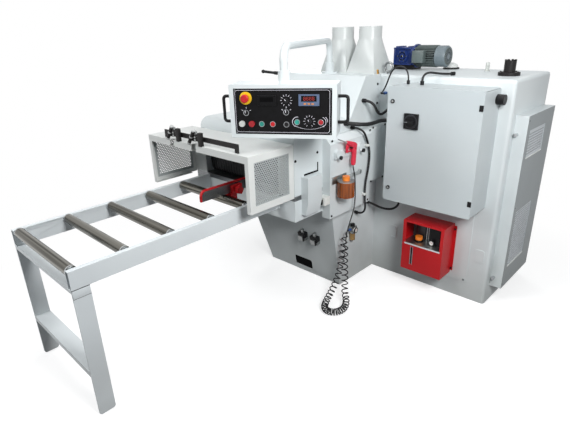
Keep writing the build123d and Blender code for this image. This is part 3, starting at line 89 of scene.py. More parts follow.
# Routes of the hose and of the cables, each with its radius
HOSE_EXIT = (545.0, -525.0, 444.0)
HOSE_RADIUS = 4.0
CURL_RADIUS = 21.0
CURL_LEAD = 75.0
CURL_STEPS = 24
STRAIGHT_STEP = 6.0
CURL_ROUTE = [(545, -535, 444), (546, -566, 418), (549, -592, 350), (556, -624, 233), (572, -678, 139),
              (592, -770, 80), (606, -850, 42), (628, -905, 27), (672, -930, 25.6), (718, -914, 25.6),
              (744, -868, 25.8), (738, -810, 28), (704, -752, 38), (658, -712, 62), (634, -680, 110),
              (628, -672, 165), (620, -668, 240), (608, -655, 330), (600, -635, 430)]
CURL_PITCH = [44, 46, 46, 44, 40, 32, 24, 18, 16.5, 16.5, 18, 23, 30, 36, 38, 40, 44, 46, 46]
HOSE_ROUTE = [(600, -606, 520), (604, -566, 600), (606, -546, 670), (606, -545, 760), (606, -552, 860),
              (606, -580.2, 940.4), (606, -579.4, 950.4)]
CABLES = {
    "conduit": (13.0, [(529, -540, 1210), (600, -540, 1210), (612, -400, 1190), (612, -250, 1200),
                       (692, -250, 1200)]),
    "head_cable": (9.0, [(529, -345, 1330), (590, -345, 1330), (598, -285, 1224), (622, -205, 1262),
                         (640, -190, 1300), (692, -190, 1300)]),
    "side_cable": (7.0, [(529, -470, 1170), (600, -470, 1170), (590, -400, 1080), (586, -356, 990),
                         (586, -366, 880), (586, -396, 780), (588, -406, 690), (598, -396, 540),
                         (529, -400, 540)]),
    "loop_cable": (5.0, [(782, -246.5, 1466), (778, -246.5, 1545), (662, -240, 1552), (598, -228, 1392),
                         (555, -222, 1362), (555, -162, 1362)]),
    "roof_cable": (7.0, [(878, -246.5, 1466), (878, -246.5, 1524), (943, -104, 1498), (973, -51.8, 1498)]),
    "low_cable": (8.0, [(529, -262, 580), (570, -262, 576), (612, -206, 534), (700, -200, 544),
                        (752, -200, 600), (752, -200, 659)]),
}


def spin(degrees, axis):
    """Rotation about one of the axes."""
    return Matrix.Rotation(math.radians(degrees), 4, axis)


def panel_point(u, v, out=0.0):
    """Point on the control panel's face, in metres: u to the right, v up, out towards the operator."""
    turn = math.radians(PANEL_TURN)
    y = PANEL_FACE - PANEL_FRONT - out
    return Vector((PANEL_SWIVEL[0] + u * math.cos(turn) - y * math.sin(turn),
                   PANEL_SWIVEL[1] + u * math.sin(turn) + y * math.cos(turn), PANEL_SWIVEL[2] + v)) * MM


def panel_frame(u=0.0, v=0.0, out=0.0):
    """Frame on the panel's face in millimetres: X to the right, Y up, Z towards the operator."""
    return Matrix.Translation(panel_point(u, v, out) / MM) @ spin(PANEL_TURN, "Z") @ spin(90, "X")


def gun_frame():
    """Frame of the air gun in millimetres, at the middle of its barrel: X to the nozzle, Z up."""
    return Matrix.Translation(GUN_MID) @ spin(-GUN_TILT, "X") @ spin(-90, "Z")


# Camera, floor and light

def linear(hex_code):
    """Linear RGBA of an sRGB hex colour."""
    parts = [int(hex_code[i:i + 2], 16) / 255 for i in (1, 3, 5)]
    return tuple(c / 12.92 if c <= 0.04045 else ((c + 0.055) / 1.055) ** 2.4 for c in parts) + (1.0,)


def add(tree, kind, inputs=None, **settings):
    """One node with its settings, socket values and links."""
    node = tree.nodes.new(kind)
    for key, value in settings.items():
        setattr(node, key, value)
    for socket, value in (inputs or {}).items():
        if isinstance(value, bpy.types.NodeSocket):
            tree.links.new(value, node.inputs[socket])
        else:
            node.inputs[socket].default_value = value
    return node


def link_in(name, data):
    """New object at the origin, in the scene."""
    piece = bpy.data.objects.new(name, data)
    bpy.context.scene.collection.objects.link(piece)
    return piece


def photo_camera():
    """Camera that sees the machine as the photograph does."""
    yaw, pitch, roll = (math.radians(a) for a in (CAMERA_YAW, CAMERA_PITCH, CAMERA_ROLL))
    ahead = Vector((math.sin(yaw) * math.cos(pitch), math.cos(yaw) * math.cos(pitch), -math.sin(pitch)))
    level = Vector((math.cos(yaw), -math.sin(yaw), 0.0))
    upright = level.cross(ahead)
    right = level * math.cos(roll) + upright * math.sin(roll)
    up = upright * math.cos(roll) - level * math.sin(roll)
    data = bpy.data.cameras.new("photo_camera")
    data.sensor_fit = "HORIZONTAL"
    data.sensor_width = CAMERA_FILM
    data.lens = CAMERA_LENS
    data.clip_end = 100.0
    camera = link_in("photo_camera", data)
    turn = Matrix((right, up, -ahead)).transposed().to_4x4()
    camera.matrix_world = Matrix.Translation(CAMERA_PLACE) @ turn
    bpy.context.scene.camera = camera


def white_to_camera(tree):
    """Share of rays that see the white studio: straight, in gloss or through glass."""
    path = add(tree, "ShaderNodeLightPath")
    gloss = add(tree, "ShaderNodeMath", {0: path.outputs["Is Camera Ray"], 1: path.outputs["Is Glossy Ray"]},
                operation="MAXIMUM")
    return add(tree, "ShaderNodeMath", {0: gloss.outputs[0], 1: path.outputs["Is Transmission Ray"]},
               operation="MAXIMUM").outputs[0]


def studio():
    """White background, soft light from all round and the lamps."""
    bpy.context.scene.view_settings.view_transform = "Standard"
    world = bpy.data.worlds.new("white_studio")
    world.use_nodes = True
    bpy.context.scene.world = world
    tree = world.node_tree
    tree.nodes.clear()
    soft = add(tree, "ShaderNodeBackground", {"Color": linear("#EDF3F8"), "Strength": SOFT_LIGHT})
    white = add(tree, "ShaderNodeBackground", {"Color": (1, 1, 1, 1), "Strength": 1.0})
    mix = add(tree, "ShaderNodeMixShader",
              {0: white_to_camera(tree), 1: soft.outputs[0], 2: white.outputs[0]})
    add(tree, "ShaderNodeOutputWorld", {"Surface": mix.outputs[0]})
    for name, place, target, size, power in LAMPS:
        data = bpy.data.lights.new(name, "AREA")
        data.shape = "DISK"
        data.size = size
        data.energy = power
        lamp = link_in(name, data)
        lamp.location = place
        lamp.rotation_euler = (Vector(target) - Vector(place)).to_track_quat("-Z", "Y").to_euler()


def studio_floor():
    """White floor that keeps the machine's shadow."""
    mesh = bpy.data.meshes.new("floor")
    corners = [(-FLOOR_HALF, -FLOOR_HALF, 0), (FLOOR_HALF, -FLOOR_HALF, 0), (FLOOR_HALF, FLOOR_HALF, 0),
               (-FLOOR_HALF, FLOOR_HALF, 0)]
    mesh.from_pydata(corners, [], [(0, 1, 2, 3)])
    floor = link_in("floor", mesh)
    floor.location.z = -FLOOR_DROP
    material = bpy.data.materials.new("white_floor")
    material.use_nodes = True
    tree = material.node_tree
    tree.nodes.clear()
    # Bounced light meets a darker floor than the camera does, so that low faces keep their shade.
    seen = add(tree, "ShaderNodeLightPath").outputs["Is Camera Ray"]
    tone = add(tree, "ShaderNodeMix", {0: seen, 6: linear("#6E6E6E"), 7: (1.35, 1.35, 1.35, 1.0)},
               data_type="RGBA")
    plain = add(tree, "ShaderNodeBsdfDiffuse", {"Color": tone.outputs[2]})
    glow = add(tree, "ShaderNodeEmission", {"Color": (1, 1, 1, 1), "Strength": 1.0})
    # The shadow keeps its strength near the machine and the floor melts into the white further out.
    spot = add(tree, "ShaderNodeTexCoord")
    away = add(tree, "ShaderNodeVectorMath", {0: spot.outputs["Object"], 1: (0.4, -0.8, 0.0)},
               operation="DISTANCE")
    fade = add(tree, "ShaderNodeMapRange", {"Value": away.outputs["Value"], "From Min": 1.2, "From Max": 2.6,
                                            "To Min": 0.5, "To Max": 1.0})
    share = add(tree, "ShaderNodeMath", {0: fade.outputs[0], 1: white_to_camera(tree)}, operation="MULTIPLY")
    mix = add(tree, "ShaderNodeMixShader", {0: share.outputs[0], 1: plain.outputs[0], 2: glow.outputs[0]})
    add(tree, "ShaderNodeOutputMaterial", {"Surface": mix.outputs[0]})
    mesh.materials.append(material)


# Materials

def finish(name, colour, shade, patch, grain, depth, rough, vary=0.07, stretch=(1.0, 1.0, 1.0), detail=3.0,
           dust=0.0, **steady):
    """Node material: two shades in patches, and a fine grain that breaks the gloss and raises the surface.

    Patch, grain and the grain's depth are sizes in millimetres. Dust is its share at the floor, and steady
    sockets have one value all over.
    """
    material = bpy.data.materials.new(name)
    material.use_nodes = True
    tree = material.node_tree
    tree.nodes.clear()
    spot = add(tree, "ShaderNodeTexCoord").outputs["Object"]
    laid = add(tree, "ShaderNodeMapping", {"Vector": spot, "Scale": stretch}).outputs[0]
    clouds, fine = [add(tree, "ShaderNodeTexNoise",
                        {"Vector": laid, "Scale": 1 / (size * MM), "Detail": detail}).outputs[0]
                    for size in (patch, grain)]
    share = add(tree, "ShaderNodeMapRange", {"Value": clouds, "From Min": 0.3, "From Max": 0.7}).outputs[0]
    tone = add(tree, "ShaderNodeMix", {0: share, 6: linear(colour), 7: linear(shade)},
               data_type="RGBA").outputs[2]
    if dust:
        height = add(tree, "ShaderNodeSeparateXYZ", {0: spot}).outputs[2]
        low = add(tree, "ShaderNodeMapRange",
                  {"Value": height, "From Max": 0.55, "To Min": dust, "To Max": 0.0})
        settled = add(tree, "ShaderNodeMath", {0: low.outputs[0], 1: share}, operation="MULTIPLY").outputs[0]
        tone = add(tree, "ShaderNodeMix", {0: settled, 6: tone, 7: linear("#8E8A7E")},
                   data_type="RGBA").outputs[2]
    sheen = add(tree, "ShaderNodeMapRange", {"Value": fine, "From Min": 0.3, "From Max": 0.7,
                                             "To Min": rough - vary, "To Max": rough + vary}).outputs[0]
    bump = add(tree, "ShaderNodeBump", {"Height": fine, "Distance": depth * MM}).outputs[0]
    even = {socket.replace("_", " "): value for socket, value in steady.items()}
    shader = add(tree, "ShaderNodeBsdfPrincipled",
                 {"Base Color": tone, "Roughness": sheen, "Normal": bump, **even})
    add(tree, "ShaderNodeOutputMaterial", {"Surface": shader.outputs[0]})
    return material


def powder_coat(name, colour, shade, rough=0.44, dust=0.0, shine=0.42):
    """Powder coat on steel: fine orange peel in a soft gloss, slow drift of shade, dust near the floor."""
    return finish(name, colour, shade, 420.0, 2.2, 0.05, rough, dust=dust, Specular_IOR_Level=shine)


def worked_steel(name, colour, shade, line, rough, stretch=(1.0, 1.0, 1.0), detail=3.0):
    """Turned, ground or drawn steel: tool lines run one way, and the sheen breaks along them."""
    return finish(name, colour, shade, line, line, 0.05, rough, 0.1, stretch, detail, Metallic=1.0)


def moulded(name, colour, shade, rough=0.4, shine=0.5):
    """Moulded plastic: fine eroded grain, drawn near 1 mm so that it shows, and a soft even gloss."""
    return finish(name, colour, shade, 26.0, 0.9, 0.03, rough, 0.06, Specular_IOR_Level=shine)


def enamel(name, colour, shade, rough=0.36):
    """Thick enamel over a casting: pebbled skin under the gloss, darker where the paint is thin."""
    return finish(name, colour, shade, 5.5, 5.5, 0.35, rough, 0.08, Specular_IOR_Level=0.4)


def rubber(name, colour, shade, rough=0.5):
    """Rubber or soft plastic tube: faint bloom and scuffs over a dull black."""
    return finish(name, colour, shade, 14.0, 1.4, 0.05, rough, 0.08, Specular_IOR_Level=0.35)


def tinted(name, colour, shade, passing):
    """Tinted clear plastic: light passes through, and upright bands show where the wall is thick."""
    return finish(name, colour, shade, 15.0, 15.0, 0.01, 0.16, 0.04, (1.0, 1.0, 0.06), 1.0,
                  Transmission_Weight=passing, IOR=1.49)


FINISH = {
    # Sheet metal in its paints: pale grey-white on the machine, cooler on the cabinet, glossy reds
    "machine_white": powder_coat("powder_coat_machine_white", "#D6DCDD", "#CCD3D5", 0.44, dust=0.35),
    "hood_white": powder_coat("powder_coat_hood_white", "#DCDEDC", "#D3D6D4", 0.42),
    "duct_grey": powder_coat("powder_coat_duct_grey", "#C9CDCC", "#C0C5C4", 0.30),
    # Painted shade: the darker grey on the side cover's outward face stands in for the shade that falls
    # there.
    "cover_white": powder_coat("powder_coat_cover_painted_shade", "#8E9597", "#858C8F", 0.46, dust=0.2),
    "table_white": powder_coat("powder_coat_table_white", "#DCE2E4", "#D3D9DC", 0.40, dust=0.25),
    "cabinet_grey": powder_coat("powder_coat_cabinet_grey", "#C0C7C9", "#B9C1C4", 0.38),
    "mesh_paint": powder_coat("grey_perforated_sheet_paint", "#A9AEAE", "#9DA3A4", 0.5),
    "guard_paint": powder_coat("pale_perforated_guard_paint", "#C9CED2", "#BDC3C8", 0.45),
    "safety_red": powder_coat("gloss_paint_safety_red", "#C4141C", "#B41119", 0.34),
    "gate_red": powder_coat("gloss_paint_fence_red", "#BE1A20", "#A6141A", 0.32),
    "black_paint": powder_coat("satin_black_paint", "#141314", "#1C1A1A", 0.5, shine=0.22),
    # Bare metal: streaks along the rollers, grinding lines on the bed, brighter chrome and zinc
    # The rollers' dark and bright streaks are partly drawing lines and partly painted highlight and
    # reflection.
    "roller_steel": worked_steel("drawn_steel_rollers_painted_reflections", "#7C7A73", "#403E38", 11.0, 0.22, (0.012, 1.0, 1.0),
                                 0.5),
    "bed_steel": worked_steel("ground_steel_bed", "#8B8D8D", "#64666A", 0.9, 0.36, (1.0, 0.05, 1.0)),
    "bar_chrome": worked_steel("chromed_bar", "#C9CCCE", "#A7ABAE", 0.7, 0.16, (0.08, 1.0, 1.0)),
    "bolt_zinc": worked_steel("zinc_plated_bolts", "#8F9394", "#6A6E70", 1.2, 0.34),
    "mill_steel": worked_steel("dark_mill_steel", "#3A3A3B", "#242426", 1.6, 0.48, (1.0, 1.0, 0.1)),
    "alloy": worked_steel("die_cast_alloy", "#B9BBBB", "#8F9292", 2.4, 0.4),
    "brass": worked_steel("turned_brass", "#C79B4A", "#9C742E", 1.0, 0.26),
    # Castings in thick enamel
    "cast_grey": enamel("grey_enamel_casting", "#6E7072", "#55585A", 0.5),
    "gear_blue": enamel("blue_enamel_gearbox", "#203C84", "#152655", 0.34),
    "motor_grey": enamel("grey_green_enamel_motor", "#667170", "#525D5C", 0.38),
    "fan_grey": enamel("pale_enamel_fan_cover", "#717D83", "#626E74", 0.4),
    # Plastics: black housings with little shine, bright caps and lenses
    "panel_black": moulded("black_front_foil", "#0A0A0B", "#101012", 0.42, 0.12),
    "plastic_black": moulded("black_moulded_plastic", "#0E0E10", "#161618", 0.42, 0.25),
    # slot_dark is painted shade: near-black where only shade is, in slits, grilles, gaps and behind holes;
    # it also colours the dark display window.
    "slot_dark": moulded("unlit_dark_gap", "#050506", "#0A0A0B", 0.8, 0.05),
    "plastic_grey": moulded("grey_moulded_plastic", "#8E9397", "#7D8387", 0.45),
    "plastic_dark": moulded("dark_grey_plastic", "#2E2F33", "#25262A", 0.36),
    "lamp_white": moulded("frosted_white_lens", "#C9CCC8", "#B9BDB9", 0.30),
    "clip_white": moulded("white_nylon_clips", "#E2E4E0", "#D5D8D4", 0.45),
    "lamp_red": moulded("red_lens", "#B0202A", "#8C0D17", 0.24),
    "button_red": moulded("red_button_plastic", "#C4161E", "#A81019", 0.28),
    "button_green": moulded("green_button_plastic", "#2A9C8C", "#1F8074", 0.28),
    "ring_yellow": moulded("yellow_ring_plastic", "#E9BE1A", "#DDAF12", 0.34),
    "cap_orange": moulded("orange_cap_plastic", "#EE8A2C", "#DE7620", 0.36),
    "gun_red": moulded("crimson_gun_plastic", "#DF2B45", "#C4203A", 0.32),
    "fitting_blue": moulded("blue_push_in_fitting", "#2B5FA8", "#214C88", 0.32),
    "glass_black": moulded("smoked_display_window", "#060608", "#0C0A10", 0.2, 0.2),
    "display_grey": moulded("blue_grey_display_frame", "#5A6A86", "#4B5A75", 0.34),
    "dial_white": moulded("white_gauge_dial", "#EDEDE8", "#E0E0DA", 0.35),
    "ink_white": moulded("white_panel_ink", "#E4E3EC", "#D6D5E0", 0.5),
    "digits_red": moulded("dim_red_digits", "#C23A34", "#A82C28", 0.4),
    "key_orange": moulded("orange_keys", "#D98A3A", "#C57A2C", 0.45),
    # Rubber, hose and clear bowls
    "hose_black": rubber("black_polyurethane_hose", "#0E0E10", "#1E1E22", 0.34),
    "cable_black": rubber("black_cable_jacket", "#121213", "#222224", 0.5),
    "belt_rubber": rubber("belt_rubber", "#1C1C1C", "#343434", 0.7),
    "amber": tinted("amber_oil_cup", "#B85A06", "#5A2A05", 0.18),
    "bowl_amber": tinted("amber_regulator_bowl", "#C9A46A", "#B58F54", 0.5),
}


# Copies of the solids, split so that each takes its own finish

def solid_groups(node):
    """A merged copy of a CAD node's mesh and the faces of each of its solids."""
    mesh = bmesh.new()
    mesh.from_mesh(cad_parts[node].data)
    mesh.transform(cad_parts[node].matrix_world)
    bmesh.ops.remove_doubles(mesh, verts=mesh.verts, dist=1e-6)
    seen = set()
    groups = []
    for first in mesh.faces:
        if first in seen:
            continue
        group, queue = [], [first]
        seen.add(first)
        while queue:
            face = queue.pop()
            group.append(face)
            for other in (f for edge in face.edges for f in edge.link_faces):
                if other not in seen:
                    seen.add(other)
                    queue.append(other)
        groups.append(group)
    return mesh, groups


def smooth_by_angle(mesh, angle=32.0):
    """Smooth shading with edges kept sharp past an angle."""
    mesh.polygons.foreach_set("use_smooth", [True] * len(mesh.polygons))
    mesh.set_sharp_from_angle(angle=math.radians(angle))


def bake(piece):
    """Turn a piece's modifiers into its plain mesh."""
    graph = bpy.context.evaluated_depsgraph_get()
    shown = piece.evaluated_get(graph)
    mesh = bpy.data.meshes.new_from_object(shown, preserve_all_data_layers=True, depsgraph=graph)
    piece.modifiers.clear()
    piece.data = mesh


def round_edges(piece, width):
    """Rounded sheet edges of a given width in millimetres, made plain mesh."""
    bevel = piece.modifiers.new("edge", "BEVEL")
    bevel.width = width * MM
    bevel.segments = 2
    bevel.limit_method = "ANGLE"
    bevel.angle_limit = math.radians(40)
    bake(piece)


def paint(piece, finish, body, smooth=32.0):
    """One finish all over, smooth shading and the body that carries the piece."""
    piece.data.materials.clear()
    piece.data.materials.append(FINISH[finish])
    if smooth:
        smooth_by_angle(piece.data, smooth)
        flat = piece.modifiers.new("flat_faces", "WEIGHTED_NORMAL")
        flat.keep_sharp = True
        bake(piece)
    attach(piece, body)
    return piece


def mesh_data(name, mesh):
    """Plain mesh from a bmesh, which is used up."""
    data = bpy.data.meshes.new(name)
    mesh.to_mesh(data)
    mesh.free()
    return data


def piece_from(name, mesh, finish, body="frame", smooth=32.0, edge=0.0):
    """Finished piece from a bmesh, its edges rounded to a width in millimetres where one is given."""
    bmesh.ops.recalc_face_normals(mesh, faces=mesh.faces)
    piece = paint(link_in(name, mesh_data(name, mesh)), finish, body, smooth)
    if edge:
        round_edges(piece, edge)
        smooth_by_angle(piece.data)
    return piece


def dress(node, body, *rules):
    """Replace a CAD node by copies of its solids, a piece for each finish.

    A rule is a finish, the width of its rounded edges and a test of a solid's size and middle. A rule
    without a test takes all that is left, and a solid with no finish is left to another piece.
    """
    whole, groups = solid_groups(node)
    chosen = {}
    for group in groups:
        corners = [v.co / MM for face in group for v in face.verts]
        low = Vector([min(c[i] for c in corners) for i in range(3)])
        high = Vector([max(c[i] for c in corners) for i in range(3)])
        size, middle = high - low, (low + high) / 2
        finish, edge = next(rule[:2] for rule in rules if len(rule) == 2 or rule[2](size, middle))
        if finish:
            chosen.setdefault((finish, edge), []).extend(group)
    for (finish, edge), faces in chosen.items():
        part = bmesh.new()
        known = {}
        for face in faces:
            for vert in face.verts:
                if vert not in known:
                    known[vert] = part.verts.new(vert.co)
            part.faces.new([known[v] for v in face.verts])
        bmesh.ops.dissolve_limit(part, angle_limit=math.radians(1.0), verts=part.verts, edges=part.edges)
        name = f"{node}.{finish}"
        piece = link_in(name, mesh_data(name, part))
        if edge:
            round_edges(piece, edge)
        paint(piece, finish, body)
        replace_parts(piece, node)
    whole.free()


def dress_all():
    """Each CAD node in its finishes, told apart by the size s and the middle m of its solids."""
    fixed = {
        "base_frame": [("machine_white", 1.5)],
        "machine_bed": [("bed_steel", 0)],
        "main_housing": [("machine_white", 2.0)],
        "saw_head": [("machine_white", 1.5)],
        "dust_hoods": [("duct_grey", 0)],
        "motor_housing": [("black_paint", 0, lambda s, m: m.z > 1490 and m.x > 1000),
                          ("bolt_zinc", 0, lambda s, m: m.z > 1490), ("machine_white", 0)],
        "motor_side_cover": [("bar_chrome", 1.0, lambda s, m: s.z < 60), ("cover_white", 2.0)],
        "access_plate": [("machine_white", 1.0)],
        "side_covers": [("mill_steel", 0, lambda s, m: s.y < 20), ("clip_white", 2.5, lambda s, m: s.y < 60),
                        ("machine_white", 2.5)],
        "infeed_rails": [("bolt_zinc", 0, lambda s, m: s.z < 20), ("table_white", 1.4)],
        "leg_frame": [("table_white", 0)],
        "tunnel_hood": [("hood_white", 1.0)],
        "laser_bar": [("black_paint", 1.0)],
        "fence_bar": [("bar_chrome", 0.8)],
        "finger_shaft": [("mill_steel", 0)],
        "bearing_blocks": [("cast_grey", 2.0)],
        "main_motor": [("cast_grey", 0)],
        "drive_belts": [("belt_rubber", 0)],
        "feed_gearmotor": [("black_paint", 0.8, lambda s, m: m.z < 1520),
                           ("gear_blue", 2.0, lambda s, m: m.x < 500), ("motor_grey", 1.5)],
        "cabinet_box": [("cabinet_grey", 1.4)],
        "lubricator": [("safety_red", 1.4, lambda s, m: s.z > 300),
                       ("glass_black", 0.8, lambda s, m: s.y < 10), ("alloy", 1.0, lambda s, m: s.x > 200),
                       ("cap_orange", 2.0, lambda s, m: m.x < 990), ("plastic_black", 1.5)],
        "oil_cup": [("amber", 0.8, lambda s, m: s.z > 60), ("cap_orange", 2.0, lambda s, m: s.z > 20),
                    ("alloy", 0.8)],
        "cables_and_glands": [("fitting_blue", 0.8, lambda s, m: m.z > 1355 and m.x < 600 and max(s) < 30),
                              ("plastic_black", 8.0, lambda s, m: m.x > 1300),
                              ("plastic_black", 1.5, lambda s, m: max(s) < 70), (None, 0)],
        "air_units": [("bowl_amber", 1.0, lambda s, m: s.z > 55 and s.x < 40),
                      ("plastic_black", 1.0, lambda s, m: s.z < 20 and s.x > 20),
                      ("dial_white", 0.6, lambda s, m: s.x < 12), ("alloy", 1.2)],
    }
    for node, rules in fixed.items():
        dress(node, "frame", *rules)
    # Painted shade: the side cover's outward face takes the darker grey and its edges the machine's white,
    # for the shade on that face.
    cover = bpy.data.objects["motor_side_cover.cover_white"].data
    cover.materials.append(FINISH["machine_white"])
    for face in cover.polygons:
        face.material_index = 0 if face.normal.x > 0.5 else 1
    moving = {
        "laser_left": "black_paint", "laser_right": "black_paint", "fence_clamp": "gate_red",
        "antikick_fingers": "mill_steel", "motor_pulley": "cast_grey", "feed_roller_upper": "bed_steel",
        "feed_roller_lower": "bed_steel", "pendant_arm": "machine_white", "estop_button": "button_red",
        "green_button_left": "button_green", "red_button_left": "button_red",
        "black_button": "plastic_black", "green_button_right": "button_green",
        "red_button_right": "lamp_red", "selector_left": "plastic_black",
        "selector_middle": "plastic_black", "speed_knob_upper": "plastic_black",
        "speed_knob_lower": "plastic_black", "door_lock_lower": "plastic_black",
        "door_lock_upper": "plastic_black", "isolator_knob": "plastic_black", "gun_trigger": "gun_red"}
    moving.update({f"infeed_roller_{i}": "roller_steel" for i in range(1, 6)})
    for node, finish in moving.items():
        dress(node, node, (finish, 0.8 if finish.startswith(("button", "plastic")) else 0))
    dress("arbor_shaft", "arbor", ("bed_steel", 0))
    dress("saw_blades", "arbor", ("bar_chrome", 0))
    dress("fence", "fence", ("gate_red", 1.0, lambda s, m: s.x > 13), ("bed_steel", 0.8))
    dress("control_box", "control_box", ("plastic_black", 0, lambda s, m: s.z < 200), ("machine_white", 1.5))
    for grip in bpy.data.objects["control_box.plastic_black"].data.vertices:
        grip.co += grip.normal * (GRIP_SWELL * MM)
    lamp_split = panel_point(LAMPS_APART, 0).x / MM
    dress("control_panel", "control_box",
          ("panel_black", 0, lambda s, m: s.z > 200), ("ring_yellow", 1.5, lambda s, m: s.z > 62),
          ("display_grey", 1.0, lambda s, m: s.z > 55), ("plastic_black", 1.0, lambda s, m: s.z > 40),
          ("bar_chrome", 1.2, lambda s, m: s.z < 31.5), ("lamp_white", 1.5, lambda s, m: m.x < lamp_split),
          ("lamp_red", 1.5))
    dress("cabinet_door", "cabinet_door",
          ("cabinet_grey", 5.0, lambda s, m: s.x > 300), ("plastic_black", 1.5))


# Shapes that the solids leave plain, in millimetres

def skin(mesh, sections, ring=False):
    """Closed shape through sections of equally many points: capped at both ends, or a ring."""
    rings = [[mesh.verts.new(Vector(point) * MM) for point in section] for section in sections]
    pairs = list(zip(rings, rings[1:])) + ([(rings[-1], rings[0])] if ring else [])
    count = len(rings[0])
    for low, high in pairs:
        for k in range(count):
            mesh.faces.new((low[k], low[(k + 1) % count], high[(k + 1) % count], high[k]))
    if not ring:
        mesh.faces.new(rings[0][::-1])
        mesh.faces.new(rings[-1])


def lathe(mesh, base, axis, profile, sides=24):
    """Turned shape: pairs of radius and height along an axis that starts at a base."""
    base, ahead = Vector(base), Vector(axis).normalized()
    across = ahead.orthogonal().normalized()
    beside = ahead.cross(across)
    spokes = [across * math.cos(2 * math.pi * k / sides) + beside * math.sin(2 * math.pi * k / sides)
              for k in range(sides)]
    skin(mesh, [[base + ahead * height + spoke * radius for spoke in spokes] for radius, height in profile])


def slab(mesh, low, high, place=Matrix.Identity(4)):
    """Box between two corners in a frame of its own."""
    flat = [(low[0], low[1]), (high[0], low[1]), (high[0], high[1]), (low[0], high[1])]
    skin(mesh, [[place @ Vector((x, y, z)) for x, y in flat] for z in (low[2], high[2])])


def rounded_loop(half_width, half_height, radius, steps=5):
    """Points round a rectangle with rounded corners."""
    loop = []
    for corner, (sx, sy) in enumerate(((1, 1), (-1, 1), (-1, -1), (1, -1))):
        for k in range(steps + 1):
            angle = math.radians(90 * (corner + k / steps))
            loop.append((sx * (half_width - radius) + radius * math.cos(angle),
                         sy * (half_height - radius) + radius * math.sin(angle)))
    return loop


def band(mesh, outer, inner, low, high, place):
    """Flat frame between two loops, from low to high in a frame of its own."""
    loops = [(outer, low), (outer, high), (inner, high), (inner, low)]
    skin(mesh, [[place @ Vector((x, y, z)) for x, y in loop] for loop, z in loops], ring=True)


# Repeated shapes, grown by node groups

def geometry_tree(name, sockets):
    """Node group with a mesh in and out and named inputs, and the outputs of its input node."""
    tree = bpy.data.node_groups.new(name, "GeometryNodeTree")
    tree.interface.new_socket("Mesh", in_out="OUTPUT", socket_type="NodeSocketGeometry")
    tree.interface.new_socket("Mesh", in_out="INPUT", socket_type="NodeSocketGeometry")
    for label, kind in sockets.items():
        tree.interface.new_socket(label, in_out="INPUT", socket_type=f"NodeSocket{kind}")
    tree.interface.new_socket("Finish", in_out="INPUT", socket_type="NodeSocketMaterial")
    return tree, add(tree, "NodeGroupInput").outputs


def finish_tree(tree, given, geometry):
    """Instances made real, in the group's material, to its output."""
    real = add(tree, "GeometryNodeRealizeInstances", {0: geometry})
    coated = add(tree, "GeometryNodeSetMaterial", {"Geometry": real.outputs[0], "Material": given["Finish"]})
    add(tree, "NodeGroupOutput", {0: coated.outputs[0]})
    return tree


def ring_tree():
    """Copies of a shape round the Z axis, its X outwards."""
    tree, given = geometry_tree("shapes_in_a_ring", {"Shape": "Object", "Count": "Int", "Radius": "Float",
                                                     "Start": "Float", "Sweep": "Float"})
    arc = add(tree, "GeometryNodeCurveArc", {"Resolution": given["Count"], "Radius": given["Radius"],
                                             "Start Angle": given["Start"], "Sweep Angle": given["Sweep"]})
    spots = add(tree, "GeometryNodeCurveToPoints", {0: arc.outputs[0]}, mode="EVALUATED")
    spot = add(tree, "GeometryNodeInputPosition")
    outward = add(tree, "FunctionNodeAlignRotationToVector", {"Vector": spot.outputs[0]}, axis="X",
                  pivot_axis="Z")
    shape = add(tree, "GeometryNodeObjectInfo", {"Object": given["Shape"]})
    copies = add(tree, "GeometryNodeInstanceOnPoints",
                 {"Points": spots.outputs[0], "Instance": shape.outputs["Geometry"],
                  "Rotation": outward.outputs[0]})
    return finish_tree(tree, given, copies.outputs[0])


def heads_tree():
    """A shape on each point of the mesh, along its facing and at its size."""
    tree, given = geometry_tree("heads_on_points", {"Shape": "Object"})
    facing = add(tree, "GeometryNodeInputNamedAttribute", {"Name": "facing"}, data_type="FLOAT_VECTOR")
    size = add(tree, "GeometryNodeInputNamedAttribute", {"Name": "size"}, data_type="FLOAT")
    turned = add(tree, "FunctionNodeAlignRotationToVector", {"Vector": facing.outputs[0]}, axis="Z")
    shape = add(tree, "GeometryNodeObjectInfo", {"Object": given["Shape"]})
    copies = add(tree, "GeometryNodeInstanceOnPoints",
                 {"Points": given["Mesh"], "Instance": shape.outputs["Geometry"],
                  "Rotation": turned.outputs[0], "Scale": size.outputs[0]})
    return finish_tree(tree, given, copies.outputs[0])


